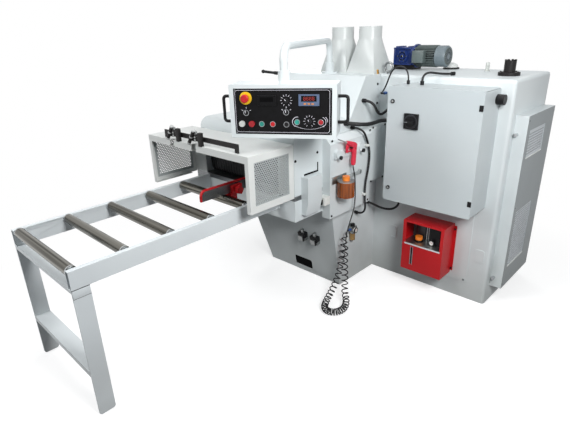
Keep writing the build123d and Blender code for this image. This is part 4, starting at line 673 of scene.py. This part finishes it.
def perforated_tree():
    """Flat sheet with staggered round holes, made of two grids half a pitch apart."""
    tree, given = geometry_tree("perforated_sheet", {"Width": "Float", "Height": "Float", "Pitch": "Float",
                                                     "Hole": "Float", "Columns": "Int", "Rows": "Int",
                                                     "Thickness": "Float"})
    step = add(tree, "ShaderNodeMath", {0: given["Pitch"], 1: math.sqrt(3)}, operation="MULTIPLY").outputs[0]
    spans = []
    for count, pitch in ((given["Columns"], given["Pitch"]), (given["Rows"], step)):
        fewer = add(tree, "ShaderNodeMath", {0: count, 1: 1.0}, operation="SUBTRACT").outputs[0]
        spans.append(add(tree, "ShaderNodeMath", {0: fewer, 1: pitch}, operation="MULTIPLY").outputs[0])
    grid = add(tree, "GeometryNodeMeshGrid",
               {"Size X": spans[0], "Size Y": spans[1], "Vertices X": given["Columns"],
                "Vertices Y": given["Rows"]})
    shift = add(tree, "ShaderNodeCombineXYZ", {0: given["Pitch"], 1: step})
    half = add(tree, "ShaderNodeVectorMath", {0: shift.outputs[0], 1: (0.25, 0.25, 0.0)},
               operation="MULTIPLY")
    back = add(tree, "ShaderNodeVectorMath", {0: half.outputs[0], 1: (-1.0, -1.0, 0.0)},
               operation="MULTIPLY")
    layers = add(tree, "GeometryNodeJoinGeometry")
    for offset in (half, back):
        moved = add(tree, "GeometryNodeTransform",
                    {"Geometry": grid.outputs[0], "Translation": offset.outputs[0]})
        tree.links.new(moved.outputs[0], layers.inputs[0])
    radius = add(tree, "ShaderNodeMath", {0: given["Hole"], 1: 0.5}, operation="MULTIPLY")
    hole = add(tree, "GeometryNodeCurvePrimitiveCircle", {"Resolution": 6, "Radius": radius.outputs[0]})
    holes = add(tree, "GeometryNodeInstanceOnPoints",
                {"Points": layers.outputs[0], "Instance": hole.outputs[0]})
    real = add(tree, "GeometryNodeRealizeInstances", {0: holes.outputs[0]})
    edge = add(tree, "GeometryNodeCurvePrimitiveQuadrilateral",
               {"Width": given["Width"], "Height": given["Height"]})
    lines = add(tree, "GeometryNodeJoinGeometry", {0: edge.outputs[0]})
    tree.links.new(real.outputs[0], lines.inputs[0])
    face = add(tree, "GeometryNodeFillCurve", {0: lines.outputs[0]})
    wall = add(tree, "GeometryNodeExtrudeMesh", {"Mesh": face.outputs[0], "Offset Scale": given["Thickness"],
                                                 "Individual": False}, mode="FACES")
    under = add(tree, "GeometryNodeFlipFaces", {0: face.outputs[0]})
    both = add(tree, "GeometryNodeJoinGeometry", {0: wall.outputs[0]})
    tree.links.new(under.outputs[0], both.inputs[0])
    whole = add(tree, "GeometryNodeMergeByDistance", {0: both.outputs[0], "Distance": 1e-5})
    return finish_tree(tree, given, whole.outputs[0])


TREES = {"ring": ring_tree(), "heads": heads_tree(), "perforated": perforated_tree()}


def grow(name, tree, start, finish, **values):
    """Plain mesh grown from a starting mesh by a node group, its inputs set by name."""
    piece = link_in(name, start)
    grower = piece.modifiers.new("grow", "NODES")
    grower.node_group = TREES[tree]
    values["Finish"] = FINISH[finish]
    for item in TREES[tree].interface.items_tree:
        if item.in_out == "INPUT" and item.name in values:
            grower[item.identifier] = values[item.name]
    bake(piece)
    grown = piece.data
    bpy.data.objects.remove(piece)
    return grown


def shape_object(name, mesh):
    """Object that carries a small shape for the node groups to repeat."""
    bmesh.ops.recalc_face_normals(mesh, faces=mesh.faces)
    return link_in(name, mesh_data(name, mesh))


def settle(name, grown, finish, body, place=Matrix.Identity(4), smooth=32.0):
    """Grown mesh put in its place, given in millimetres, as a finished piece."""
    move = place.copy()
    move.translation = place.translation * MM
    grown.transform(move)
    return paint(link_in(name, grown), finish, body, smooth)


def ring_of(name, shape, finish, place, count, radius, start=0.0, sweep=None, body="frame"):
    """Copies of a small shape in a ring about the Z axis of a frame, as one piece."""
    source = shape_object(f"{name}_shape", shape)
    sweep = 360.0 * (count - 1) / count if sweep is None else sweep
    grown = grow(name, "ring", bpy.data.meshes.new(name), finish, Shape=source, Count=count,
                 Radius=radius * MM, Start=math.radians(start), Sweep=math.radians(sweep))
    bpy.data.objects.remove(source)
    return settle(name, grown, finish, body, place)


def small_box(length, width, height):
    """Box about the origin along X, standing on Z = 0."""
    mesh = bmesh.new()
    slab(mesh, (-length / 2, -width / 2, 0), (length / 2, width / 2, height))
    return mesh


def axis_frame(point, axis):
    """Frame in millimetres with its Z along an axis."""
    turn = Vector(UP).rotation_difference(Vector(axis)).to_matrix().to_4x4()
    return Matrix.Translation(point) @ turn


def screws(name, finish, body, places):
    """Button-head screws as one piece. A place is a point, the way the head faces and its radius."""
    head = bmesh.new()
    lathe(head, (0, 0, 0), UP, [(1.0, 0), (1.0, 0.25), (0.8, 0.55), (0.42, 0.62), (0.36, 0.3)], 10)
    source = shape_object(f"{name}_head", head)
    start = bpy.data.meshes.new(name)
    start.from_pydata([Vector(point) * MM for point, facing, radius in places], [], [])
    facing = start.attributes.new("facing", "FLOAT_VECTOR", "POINT")
    facing.data.foreach_set("vector", [c for place in places for c in place[1]])
    size = start.attributes.new("size", "FLOAT", "POINT")
    size.data.foreach_set("value", [radius for point, way, radius in places])
    grown = grow(name, "heads", start, finish, Shape=source)
    bpy.data.objects.remove(source)
    return settle(name, grown, finish, body)


def turned_piece(name, finish, shapes, sides=24, body="frame"):
    """Piece of turned shapes, each a base, an axis and a profile."""
    mesh = bmesh.new()
    for base, axis, profile in shapes:
        lathe(mesh, base, axis, profile, sides)
    return piece_from(name, mesh, finish, body)


def block_piece(name, finish, corners, edge=0.0, place=Matrix.Identity(4), body="frame"):
    """Piece of boxes, each between two corners in one frame, with rounded edges where a width is given."""
    mesh = bmesh.new()
    for low, high in corners:
        slab(mesh, low, high, place)
    return piece_from(name, mesh, finish, body, edge=edge)


# Pieces that the photograph shows on the machine

def perforated_sheets():
    """Perforated sheets of the hood and the side cover, with the shade and lips of the cover's windows."""
    upright = spin(90, "Y") @ spin(90, "Z")
    border, thickness = 30, 1.5
    # Middle, width, height, pitch and hole of each sheet
    hood = [((x, -1221, 989.5), 302, 277, 14, 9) for x in (-498.5, 497)]
    guard = [((1475.5, 137.5, 1098.5), 319, 199, 20, 13),
             ((1475.5, 137.5, 462.5), 319, 419, 20, 13)]
    for name, sheets, coat in (("hood_sheets", hood, "mesh_paint"), ("motor_sheets", guard, "guard_paint")):
        whole = bmesh.new()
        for middle, width, height, pitch, hole in sheets:
            columns = int((width - border) / pitch)
            rows = int((height - border) / (pitch * math.sqrt(3)))
            grown = grow("sheet", "perforated", bpy.data.meshes.new("sheet"), coat, Width=width * MM,
                         Height=height * MM, Pitch=pitch * MM, Hole=hole * MM, Columns=columns, Rows=rows,
                         Thickness=thickness * MM)
            grown.transform(Matrix.Translation(Vector(middle) * MM) @ upright)
            whole.from_mesh(grown)
            bpy.data.meshes.remove(grown)
        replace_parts(piece_from(name, whole, coat), "mesh_panels")
    windows = ((1011, 1186), (265, 660))
    block_piece("guard_shade", "slot_dark",
                [((1468, -14, low - 4), (1470, 289, high + 4)) for low, high in windows])
    block_piece("guard_lips", "clip_white",
                [((1474, -10, low), (1481, 285, low + 5)) for low, high in windows])


def panel_print():
    """White border, arcs and scales on the panel's foil, pointers of its knobs and faces of its displays."""
    ink = bmesh.new()
    band(ink, rounded_loop(252.2, 109.7, 14), rounded_loop(250.6, 108.1, 12.4), 0, INK_DEPTH,
         panel_frame(-2.5, 1))
    # Middle, radius, flatness and both angles of the arcs round the lower knob and the buttons beside it
    arcs = ((LOWER_KNOB, 92, 0.46, 212, 328), ((79, -52), 27, 1, 80, 250),
            ((204, -52), 27, 1, -70, 70), ((204, -52), 36, 1, 0, 50))
    for middle, radius, height, first, last in arcs:
        under = panel_frame(*middle)
        steps = [math.radians(first + (last - first) * k / 12) for k in range(13)]
        arc = [Vector((math.cos(a), math.sin(a) * height, 0)) for a in steps]
        inside = radius - INK_LINE
        for low, high in zip(arc, arc[1:]):
            flat = [low * radius, high * radius, high * inside, low * inside]
            skin(ink, [[under @ (point + Vector((0, 0, z))) for point in flat] for z in (0, INK_DEPTH)])
    piece_from("panel_border", ink, "ink_white", "control_box")
    for name, middle in (("upper_scale", UPPER_KNOB), ("lower_scale", LOWER_KNOB)):
        ring_of(name, small_box(9, 2, INK_DEPTH), "ink_white", panel_frame(*middle), 11, 27,
                -60, 300, body="control_box")
    for name, middle in (("left_selector_marks", LEFT_SELECTOR), ("middle_selector_marks", MIDDLE_SELECTOR)):
        ring_of(name, small_box(8, 2.4, INK_DEPTH), "ink_white", panel_frame(*middle), 3, 25,
                30, 120, body="control_box")
    pointers = {"speed_knob_upper": (UPPER_KNOB, 9, 40), "speed_knob_lower": (LOWER_KNOB, 9, 25),
                "selector_left": (LEFT_SELECTOR, 11, 0), "selector_middle": (MIDDLE_SELECTOR, 11, 0)}
    for node, (middle, length, angle) in pointers.items():
        place = panel_frame(*middle)
        top = max((place.inverted() @ (point.co / MM)).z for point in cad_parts[node].data.vertices)
        block_piece(f"{node}_pointer", "ink_white",
                    [((-1.5, 1, top - 0.2), (1.5, 1 + length, top + INK_DEPTH))],
                    place=place @ spin(angle, "Z"), body=node)
    faces = (("left_display_face", "panel_black", LEFT_DISPLAY, [((-50, -25, 6.8), (50, 25, 7.6))]),
             ("left_display_window", "slot_dark", LEFT_DISPLAY, [((-36, -7, 7.4), (36, 17, 8))]),
             ("display_windows", "glass_black", RIGHT_DISPLAY, [((-40, -7, 7), (40, 22, 7.6))]),
             ("display_keys", "key_orange", RIGHT_DISPLAY,
              [((x, -22, 7), (x + 12, -15, 8.4)) for x in (-26, -6, 14)]))
    for name, coat, middle, corners in faces:
        block_piece(name, coat, corners, place=panel_frame(*middle), body="control_box")
    digits = bmesh.new()
    for k in range(4):
        seven_bars(digits, panel_frame(*RIGHT_DISPLAY, 7.6) @ Matrix.Translation((-22 + 15 * k, 8, 0)))
    piece_from("display_digits", digits, "digits_red", "control_box", 0)


def seven_bars(mesh, place):
    """Figure of seven bars, all lit, on a display."""
    for y in (-8, 0, 8):
        slab(mesh, (-3.6, y - 0.8, 0), (3.6, y + 0.8, 0.3), place)
    for x in (-4.4, 4.4):
        for y in (-4, 4):
            slab(mesh, (x - 0.8, y - 3.2, 0), (x + 0.8, y + 3.2, 0.3), place)


def gun():
    """Air gun: crimson shell of barrel, grip, web and trigger guard, with a pale nozzle."""
    place = gun_frame()
    shell = bmesh.new()
    # Barrel: place along it, half width and half height
    barrel = [(-57, 8, 10), (-53, 13, 16), (-38, 15, 20), (-8, 14.5, 19), (25, 13, 15), (48, 10.5, 12),
              (56, 8, 8)]
    skin(shell, [[place @ Vector((x, y, z + 1)) for y, z in rounded_loop(wide, tall, min(wide, tall) * 0.8)]
                 for x, wide, tall in barrel])
    # Grip: height, half depth and half width
    grip = [(4, 12, 11), (-16, 17, 12), (-40, 18, 12.5), (-80, 17.5, 12.5), (-112, 18.5, 12.5),
            (-124, 16, 11.5), (-128, 12, 10)]
    lean = spin(GUN_TILT - GUN_LEAN, "Y")
    handle = place @ Matrix.Translation((-42, 0, 0)) @ lean
    skin(shell, [[handle @ Vector((x, y, z)) for x, y in rounded_loop(deep, wide, wide * 0.8)]
                 for z, deep, wide in grip])
    web = [(-32, -10), (2, -12), (-12, -26), (-22, -46)]
    skin(shell, [[place @ Vector((x, y, z)) for x, z in web] for y in (-13.5, 13.5)])
    guard = [(-14, -42), (30, -52), (42, -30), (40, -10)]
    for start, end in zip(guard, guard[1:]):
        line = Vector((end[0] - start[0], 0, end[1] - start[1])).normalized()
        across = Vector((-line.z, 0, line.x)) * 4
        section = [across * a + Vector((0, b, 0)) for a, b in ((-1, -5), (1, -5), (1, 5), (-1, 5))]
        skin(shell, [[place @ (Vector((x, 0, z)) + corner) for corner in section] for x, z in (start, end)])
    body = piece_from("air_gun_shell", shell, "gun_red", edge=0.8)
    nozzle = [(8, 0), (8, 8), (5.5, 12), (4, 14), (4, 94), (2.6, 97)]
    ahead = place.to_3x3() @ Vector(RIGHT)
    tip = turned_piece("air_gun_nozzle", "alloy", [(place @ Vector((54, 0, 0)), ahead, nozzle)], 16)
    for piece in (body, tip):
        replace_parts(piece, "air_gun")


def gauge(name, middle, axis, radius):
    """Pressure gauge: black rim, white dial with ticks, and a red needle."""
    rim = [(radius, -6), (radius + 1, -5), (radius + 1, 1.5), (radius - 4, 2.5), (radius - 4.5, 0.8)]
    dial = [(radius - 4.2, 0.2), (radius - 4.2, 1.1)]
    turned_piece(f"{name}_rim", "plastic_black", [(middle, axis, rim)])
    turned_piece(f"{name}_dial", "dial_white", [(middle, axis, dial)])
    seat = axis_frame(Vector(middle) + Vector(axis) * 1.1, axis)
    ring_of(f"{name}_ticks", small_box(3, 0.8, 0.3), "plastic_black", seat, 13, radius - 7, -45, 270)
    needle = bmesh.new()
    slab(needle, (-3, -0.6, 0), (radius - 8, 0.6, 0.7), seat @ spin(130, "Z"))
    lathe(needle, seat.translation, axis, [(2.2, 0), (2.2, 1.2), (1.2, 1.5)], 12)
    piece_from(f"{name}_needle", needle, "button_red")


def air_details():
    """Regulator gauge and knob ribs, hose fitting, and the black coils and plugs of the two valves."""
    gauge("regulator_gauge", (559, -452, 424), RIGHT, 20)
    ring_of("regulator_knob_ribs", small_box(2.2, 2.6, 15), "plastic_black",
            axis_frame((527, -452, 452), UP), 18, 15.6)
    fitting = [(9.5, 0), (9.5, 14), (7.5, 18), (7.5, 21), (4.6, 22)]
    turned_piece("hose_fitting", "fitting_blue", [((545, -505, 444), FRONT, fitting)], 18)
    coils = bmesh.new()
    plugs = bmesh.new()
    ribs = bmesh.new()
    # The valves sit on the base's leaning front, this far up from its foot.
    foot_y, height = -568, 352
    lean = Matrix.Rotation(BASE_LEAN, 4, "X")
    for x in (217, 335):
        seat = Matrix.Translation((x, foot_y - height * math.tan(BASE_LEAN), height)) @ lean
        slab(coils, (-33, -42, -4), (33, -4, 34), seat)
        slab(ribs, (-21, -56, -22), (21, -39, 16), seat)
        for z in (-26, -15, -4, 7):
            slab(coils, (-27, -53, z), (27, -39.5, z + 4), seat)
        top = seat.to_3x3() @ Vector(UP)
        lathe(plugs, seat @ Vector((-8, -16, 33)), top, [(8, 0), (8, 8), (5.5, 10), (5.5, 22), (4, 23)], 6)
    piece_from("valve_coils", coils, "plastic_black", edge=0.8)
    piece_from("valve_plugs", plugs, "brass")
    piece_from("valve_ribs", ribs, "alloy")


def gearmotor_details():
    """Fins, fan cover, flange, bolts, ribs, terminal lid and painted shade of the roof's geared motor."""
    fins = bmesh.new()
    slab(fins, (0, -2, 0), (9, 2, 156))
    fin_seat, fan_seat, flange_seat = (
        axis_frame((x, GEARMOTOR_Y, GEARMOTOR_Z), RIGHT) for x in (545, 778.6, 541))
    ring_of("motor_fins", fins, "motor_grey", fin_seat @ spin(90, "Z"), 30, 67.5, 44, 272)
    # Dark bars on the fan cover paint the shade in its grille.
    ring_of("fan_grille", small_box(34, 3.4, 0.8), "slot_dark", fan_seat, 24, 38)
    ring_of("flange_bolts", hex_head(7, 6), "bolt_zinc", flange_seat, 4, 76, 45)
    cover = axis_frame((450.5, 226, GEARMOTOR_Z), FRONT)
    ring_of("gear_cover_bolts", hex_head(4.5, 4), "bolt_zinc", cover, 6, 35)
    # A dark ring paints the shade in the recess round the gear cover's hub.
    hub = [(28, 0), (28, 2), (24, 2.6), (23, 0.4)]
    turned_piece("gear_cover_hub", "slot_dark", [((450.5, 226.5, GEARMOTOR_Z), FRONT, hub)], 28)
    ring_of("gear_cover_plug", hex_head(10, 6), "alloy", cover, 1, 0.01)
    ribs = [((375, 229, z), (526, 241, z + 10)) for z in (1519, 1631)]
    ribs += [((x, 232, 1519), (x + 11, 241, 1641)) for x in (376, 513)]
    ribs += [((x, 244, 1641), (x + 6, 356, 1650)) for x in (384, 404, 486, 506)]
    block_piece("gearbox_ribs", "gear_blue", ribs, 2)
    fan = [(70, 0), (73, 1), (73, 66), (66, 75), (66.5, 74), (40, 76.2)]
    sleeves = (("fan_cover", "fan_grey", 703, fan),
               ("motor_flange", "gear_blue", 526.5, [(60, 0), (84, 0.3), (84, 14.8), (60, 15)]),
               # A dark sleeve under the fins paints the shade between them.
               ("motor_gaps", "slot_dark", 546, [(69.4, 0), (69.4, 156)]))
    for name, coat, x, profile in sleeves:
        turned_piece(name, coat, [((x, GEARMOTOR_Y, GEARMOTOR_Z), RIGHT, profile)], 40)
    block_piece("terminal_lid", "motor_grey", [((552, 186.5, 1538), (640, 191.5, 1622))], 3)


def housing_corner_rods():
    """Round bars in the motor housing's rounded edges, which close the slits at its inner corners."""
    rods = bmesh.new()
    left, right, front, back, floor, top = 506, 1383, -116, 458, 0.5, 1464
    radius, length = 21.8, right - left
    corner = [(radius * math.cos(math.radians(a)), radius * math.sin(math.radians(a)))
              for a in range(15, 90, 15)]
    over = [(radius, 0), (radius, length)] + [(across, length + along) for across, along in corner]
    for y in (front, back):
        lathe(rods, (left, y, top), RIGHT, over, 48)
        lathe(rods, (right, y, floor), UP, [(radius, 0), (radius, top - floor)], 48)
    lathe(rods, (right, front, top), (0, 1, 0), [(radius, 0), (radius, back - front)], 48)
    piece_from("housing_corner_rods", rods, "machine_white")


def hex_head(radius, height):
    """Six-sided bolt head on Z = 0."""
    mesh = bmesh.new()
    lathe(mesh, (0, 0, 0), UP, [(radius, 0), (radius, height * 0.8), (radius * 0.85, height)], 6)
    return mesh


def roof_details():
    """Castellated rim and bolts of the roof vent, and the grease cap, post and dome on the roof."""
    ring_of("vent_castles", small_box(7, 13, 9), "black_paint", axis_frame((1272, 105, 1571), UP), 8, 30.5)
    ring_of("vent_bolts", hex_head(6, 5), "black_paint", axis_frame((1272, 105, 1506), UP), 6, 52)
    fittings = (("grease_cap", "brass", 472, -134, 0, [(16, 0), (16, 6), (12, 8), (12, 24), (8, 28)], 18),
                ("roof_post", "lamp_white", 1048, 337, 0,
                 [(20, 0), (20, 6), (13, 8), (13, 54), (10, 58)], 18),
                ("dome_ring", "black_paint", 752, 420, 0, [(58, 0), (58, 8), (51, 12), (46, 10)], 32),
                ("dome_cap", "hood_white", 752, 420, 8,
                 [(49, 0), (47, 13), (39, 25), (24, 33), (7, 37)], 32))
    for name, coat, x, y, lift, profile, sides in fittings:
        turned_piece(name, coat, [((x, y, MOTOR_ROOF + lift), UP, profile)], sides)


def cabinet_details():
    """Light centres of the cabinet's locks, and the rim and pointer of its isolator, the rim's grey partly a
    painted highlight.
    """
    core = [(7.5, -0.5), (7.5, 1), (6, 1.6), (3.4, 0.8)]
    for name in ("door_lock_lower", "door_lock_upper"):
        low, high = (Vector(c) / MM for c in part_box(name))
        middle = (low + high) / 2
        turned_piece(f"{name}_core", "alloy", [((middle.x, low.y, middle.z), FRONT, core)], 18, body=name)
    low, high = (Vector(c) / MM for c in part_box("isolator_knob"))
    # The rim's grey is partly a real collar and partly a painted highlight round the isolator knob.
    rim = [(44, 0), (44, 2), (41.5, 2.6), (39.5, 0.6)]
    turned_piece("isolator_rim", "plastic_dark", [((893, high.y + 0.4, 1235), FRONT, rim)], 48,
                 body="cabinet_door")
    block_piece("isolator_pointer", "plastic_grey", [((866, low.y - 0.5, 1233), (886, low.y + 0.3, 1237))],
                body="isolator_knob")


def lubricator_details():
    """Gauge, filler and sight bars of the lubricator, and the lip, wall, tank and tubes of its window, the
    lip white as a painted highlight.
    """
    gauge("lubricator_gauge", (1040, -241, 390), FRONT, 20)
    neck = [(33, 0), (33, 4), (28.5, 6), (28.5, 11.8), (25, 12.2)]
    turned_piece("filler_neck", "plastic_black", [((935, -221, 370), UP, neck)], 28)
    ring_of("filler_cap_ribs", small_box(2, 3, 24), "cap_orange", axis_frame((935, -221, 383), UP), 20, 24.2)
    # The lip is white: a painted highlight along the window's lower edge.
    blocks = (("window_lip", "table_white", (868, -302, 362), (1132, -297.5, 371), 0),
              ("window_back_wall", "cast_grey", (854, -149, 371), (1008, -146, 528), 0),
              ("window_tank", "plastic_dark", (892, -186, 371), (966, -150, 478), 4))
    for name, coat, low, high, edge in blocks:
        block_piece(name, coat, [(low, high)], edge)
    turned_piece("window_tubes", "bar_chrome",
                 [((x, -200, 370.5), UP, [(4, 0), (4, 160)]) for x in (984, 999)], 14)
    block_piece("sight_glass_bars", "plastic_grey",
                [((x, -301.6, 210), (x + 4.5, -299.5, 351)) for x in (916.5, 933)])


def roller_ends():
    """Bright turned rings at the ends of each infeed roller."""
    profile = [(22, -0.3), (28.15, 0.8), (28.15, 9), (27.8, 9.3)]
    for k in range(5):
        low, high = (Vector(c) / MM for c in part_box(f"infeed_roller_{k + 1}"))
        middle = (low + high) / 2
        ends = ((low.x, 1), (high.x, -1))
        rings = [((end, middle.y, middle.z), (way, 0, 0), profile) for end, way in ends]
        turned_piece(f"roller_rings_{k + 1}", "bar_chrome", rings, 36, body=f"infeed_roller_{k + 1}")


def housing_screws():
    """Pull of the motor housing, and the screws on covers, plates, side faces and panel."""
    pull = [((702, -147, 297), (711, -137.5, 394))]
    pull += [((668, -147, z), (703, -137.5, z + 9)) for z in (297, 385)]
    block_piece("motor_housing_pull", "machine_white", pull, 3)
    zinc = [((x, MOTOR_FRONT, z), FRONT, 8) for x in (778, 1252) for z in (139, 622)]
    zinc += [((x, 186.5, z), FRONT, 4) for x in (561, 631) for z in (1547, 1613)]
    zinc += [((1480, y, z), RIGHT, 5) for y in (-48, 423) for z in (150, 700, 1250)]
    screws("zinc_screws", "bolt_zinc", "frame", zinc)
    seen = ((-173, 1422), (-170, 1292), (-144, 1226), (-1030, 1056), (-825, 1071))
    dark = [((HOUSING_SIDE, y, z), RIGHT, 9) for y, z in seen]
    dark += [((COVER_SIDE, y, z), RIGHT, 8) for y in (-758, -340) for z in (634, 1137)]
    dark += [((COVER_SIDE, y, z), RIGHT, 8) for y in (-306, -156) for z in (762, 1148)]
    dark += [((x, -152.6, z), FRONT, 7) for x in (840, 1160) for z in (205, 500)]
    screws("dark_screws", "plastic_black", "frame", dark)
    panel = panel_frame()
    facing = panel.to_3x3() @ Vector(UP)
    corners = [panel @ Vector((u, v, 0)) for u in (-253.5, 253.5) for v in (-112, 112)]
    screws("panel_screws", "bolt_zinc", "control_box", [(point, facing, 4.5) for point in corners])


def side_details():
    """Small parts on the operator's side: clips, painted shade in gaps, knobs, switch plug, oil cup mount
    and lever.
    """
    clips = ((-388, 1044), (-403, 697))
    block_piece("cable_clips", "clip_white",
                [((COVER_SIDE, y - 14, z - 9), (597, y + 14, z + 9)) for y, z in clips], 3)
    # Near-black strips paint the shade in the slit on the housing's side.
    block_piece("housing_slit", "slot_dark",
                [((504.5, -953, 945.5), (505.6, -816, 957)), ((504.5, -826, 957), (505.6, -816, 1008))])
    # A near-black slab paints the shade in the hole of the base's leaning front.
    block_piece("base_hole_shade", "slot_dark", [((-86, 3, -39), (86, 5, 39))],
                place=Matrix.Translation((160, -582, 83)) @ Matrix.Rotation(BASE_LEAN, 4, "X"))
    knob = [(9, 0), (13, 1), (13, 11), (10, 13), (6, 12)]
    turned_piece("clamp_knobs", "plastic_black", [((604, y, 1027.5), RIGHT, knob) for y in (-715, -469)], 18)
    block_piece("switch_plug", "plastic_black",
                [((522, -846, 733), (556, -830.5, 768)), ((529, -853, 740), (549, -846, 761))], 2)
    block_piece("oil_cup_plate", "alloy", [((569.5, -760, 850), (574, -606, 900))], 1.2)
    block_piece("oil_cup_strap", "mesh_paint",
                [((588, -640, 862), (591, -457, 888)), ((569.5, -472, 862), (591, -457, 888))], 0.8)
    ring_of("oil_cup_ribs", small_box(3, 5, 88), "amber", axis_frame((628, -683, 772), UP), 12, 54.6)
    collar = Vector(PANEL_SWIVEL) + Vector((0, 0, 184))
    lever = [(9, 34), (9, 50), (7, 54), (7, 104), (10, 112), (6, 120)]
    turned_piece("collar_lever", "plastic_black", [(collar, (-0.85, -0.5, 0.12), lever)], 16,
                 body="control_box")


def leg_ends():
    """Rounded foot corners of the table legs, and the end plates that close the cross beam above them, with
    painted shade in the plates' joints.
    """
    legs = bpy.data.objects["leg_frame.table_white"]
    shape = bmesh.new()
    shape.from_mesh(legs.data)
    corners = [edge for edge in shape.edges
               if all(v.co.z < 1e-5 for v in edge.verts)
               and abs(edge.verts[0].co.y - edge.verts[1].co.y) < 1e-5]
    bmesh.ops.bevel(shape, geom=corners, offset=FOOT_ROUND * MM, segments=4, profile=0.5, affect="EDGES")
    shape.to_mesh(legs.data)
    shape.free()
    paint(legs, "table_white", "frame")
    plates = []
    seam_shades = []
    # Bottom, top and outer face of a plate and of the dark strips below and above it, which paint the shade
    # in its joints
    levels = ((plates, 682, 724.5, 371.2), (seam_shades, 679.5, 682.5, 370.3), (seam_shades, 724, 727, 371.4))
    for side in (-1, 1):
        for strips, bottom, top, face in levels:
            low, high = sorted((side * LEG_INSIDE, side * face))
            strips.append(((low, LEG_FRONT, bottom), (high, LEG_BACK, top)))
    block_piece("beam_end_plates", "table_white", plates, 1)
    block_piece("beam_end_seams", "cast_grey", seam_shades)


def laser_details():
    """Bright rings and screws of the line lasers, and the black brackets that hold them."""
    lean = math.radians(36)
    ahead = (math.sin(lean), 0, math.cos(lean))
    for node, x in (("laser_left", -222), ("laser_right", 8)):
        rings = bmesh.new()
        for near, far in ((-54.4, -42), (-4, 6), (44, 54.4)):
            ring = [(10, near), (11.8, near + 1), (11.8, far - 1), (10, far)]
            lathe(rings, (x, -1408.5, 1207), ahead, ring, 24)
        lathe(rings, (x, -1375, 1218), UP, [(6, 0), (6, 5), (10, 6), (10, 17), (8, 18)], 14)
        for z in (1192, 1208):
            lathe(rings, (x + 32, -1404, z), FRONT, [(6, -1), (6, 4), (4, 6)], 6)
        piece_from(f"{node}_rings", rings, "alloy", node)
        block_piece(f"{node}_bracket", "black_paint",
                    [((x + 58, -1406, 1156), (x + 88, -1384, 1238)),
                     ((x + 8, -1404, 1184), (x + 60, -1391, 1216))], 1.5, body=node)


# Coiled air hose and cables

def smooth_line(name, points):
    """Points read from a NURBS line along a route."""
    curve = bpy.data.curves.new(name, "CURVE")
    curve.dimensions = "3D"
    curve.resolution_u = 24
    spline = curve.splines.new("NURBS")
    spline.points.add(len(points) - 1)
    for knot, point in zip(spline.points, points):
        knot.co = (*(Vector(point) * MM), 1.0)
    spline.order_u = 3
    spline.use_endpoint_u = True
    guide = link_in(name, curve)
    graph = bpy.context.evaluated_depsgraph_get()
    mesh = bpy.data.meshes.new_from_object(guide.evaluated_get(graph))
    line = [v.co.copy() for v in mesh.vertices]
    bpy.data.objects.remove(guide)
    bpy.data.meshes.remove(mesh)
    return line


def stations_along(line):
    """Running length at each point of a line."""
    runs = [0.0]
    for a, b in zip(line, line[1:]):
        runs.append(runs[-1] + (b - a).length)
    return runs


def at_length(line, runs, length):
    """Point and direction at a running length."""
    for i in range(len(runs) - 2):
        if length <= runs[i + 1]:
            break
    share = (length - runs[i]) / (runs[i + 1] - runs[i])
    return line[i].lerp(line[i + 1], share), (line[i + 1] - line[i]).normalized()


def tube(name, path, radius, sides, finish):
    """Closed round tube along a path of points in metres, its radius in millimetres."""
    mesh = bmesh.new()
    normal = Vector(RIGHT)
    angles = [2 * math.pi * k / sides for k in range(sides)]
    sections = []
    for i, point in enumerate(path):
        ahead = (path[min(i + 1, len(path) - 1)] - path[max(i - 1, 0)]).normalized()
        normal = (normal - ahead * normal.dot(ahead)).normalized()
        side = ahead.cross(normal)
        sections.append([point / MM + (normal * math.cos(a) + side * math.sin(a)) * radius for a in angles])
    skin(mesh, sections)
    return piece_from(name, mesh, finish, "frame", 60.0)


def cables():
    """Black cables and the conduit, each on a smooth line from gland to gland."""
    for name, (radius, route) in CABLES.items():
        path = smooth_line(f"{name}_line", route)
        piece = tube(name, path, radius, 16, "cable_black")
        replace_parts(piece, "cables_and_glands")


def air_hose():
    """Hose from the regulator, curled down to the floor and back, then straight up to the gun."""
    line = smooth_line("hose_line", [HOSE_EXIT] + CURL_ROUTE + HOSE_ROUTE)
    runs = stations_along(line)
    marks = []
    for knot in CURL_ROUTE:
        nearest = min(range(len(line)), key=lambda i: (line[i] - Vector(knot) * MM).length)
        marks.append(runs[nearest])
    path = [line[0]]
    length, turn = marks[0], 0.0
    normal = Vector(RIGHT)
    lead = CURL_LEAD * MM
    while length < marks[-1]:
        middle, ahead = at_length(line, runs, length)
        normal = (normal - ahead * normal.dot(ahead)).normalized()
        out = normal * math.cos(turn) + ahead.cross(normal) * math.sin(turn)
        open_share = min(1.0, (length - marks[0]) / lead, (marks[-1] - length) / lead)
        path.append(middle + out * (CURL_RADIUS * MM * open_share ** 2 * (3 - 2 * open_share)))
        k = max(i for i in range(len(marks) - 1) if marks[i] <= length)
        share = (length - marks[k]) / (marks[k + 1] - marks[k])
        pitch = CURL_PITCH[k] + (CURL_PITCH[k + 1] - CURL_PITCH[k]) * share
        length += pitch * MM / CURL_STEPS
        turn += 2 * math.pi / CURL_STEPS
    while length < runs[-1]:
        path.append(at_length(line, runs, length)[0])
        length += STRAIGHT_STEP * MM
    path.append(line[-1])
    hose = tube("air_hose", path, HOSE_RADIUS, 10, "hose_black")
    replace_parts(hose, "coil_hose")


photo_camera()
studio()
studio_floor()
air_hose()
cables()
dress_all()
perforated_sheets()
panel_print()
gun()
air_details()
gearmotor_details()
housing_corner_rods()
roof_details()
cabinet_details()
lubricator_details()
roller_ends()
housing_screws()
side_details()
laser_details()
leg_ends()
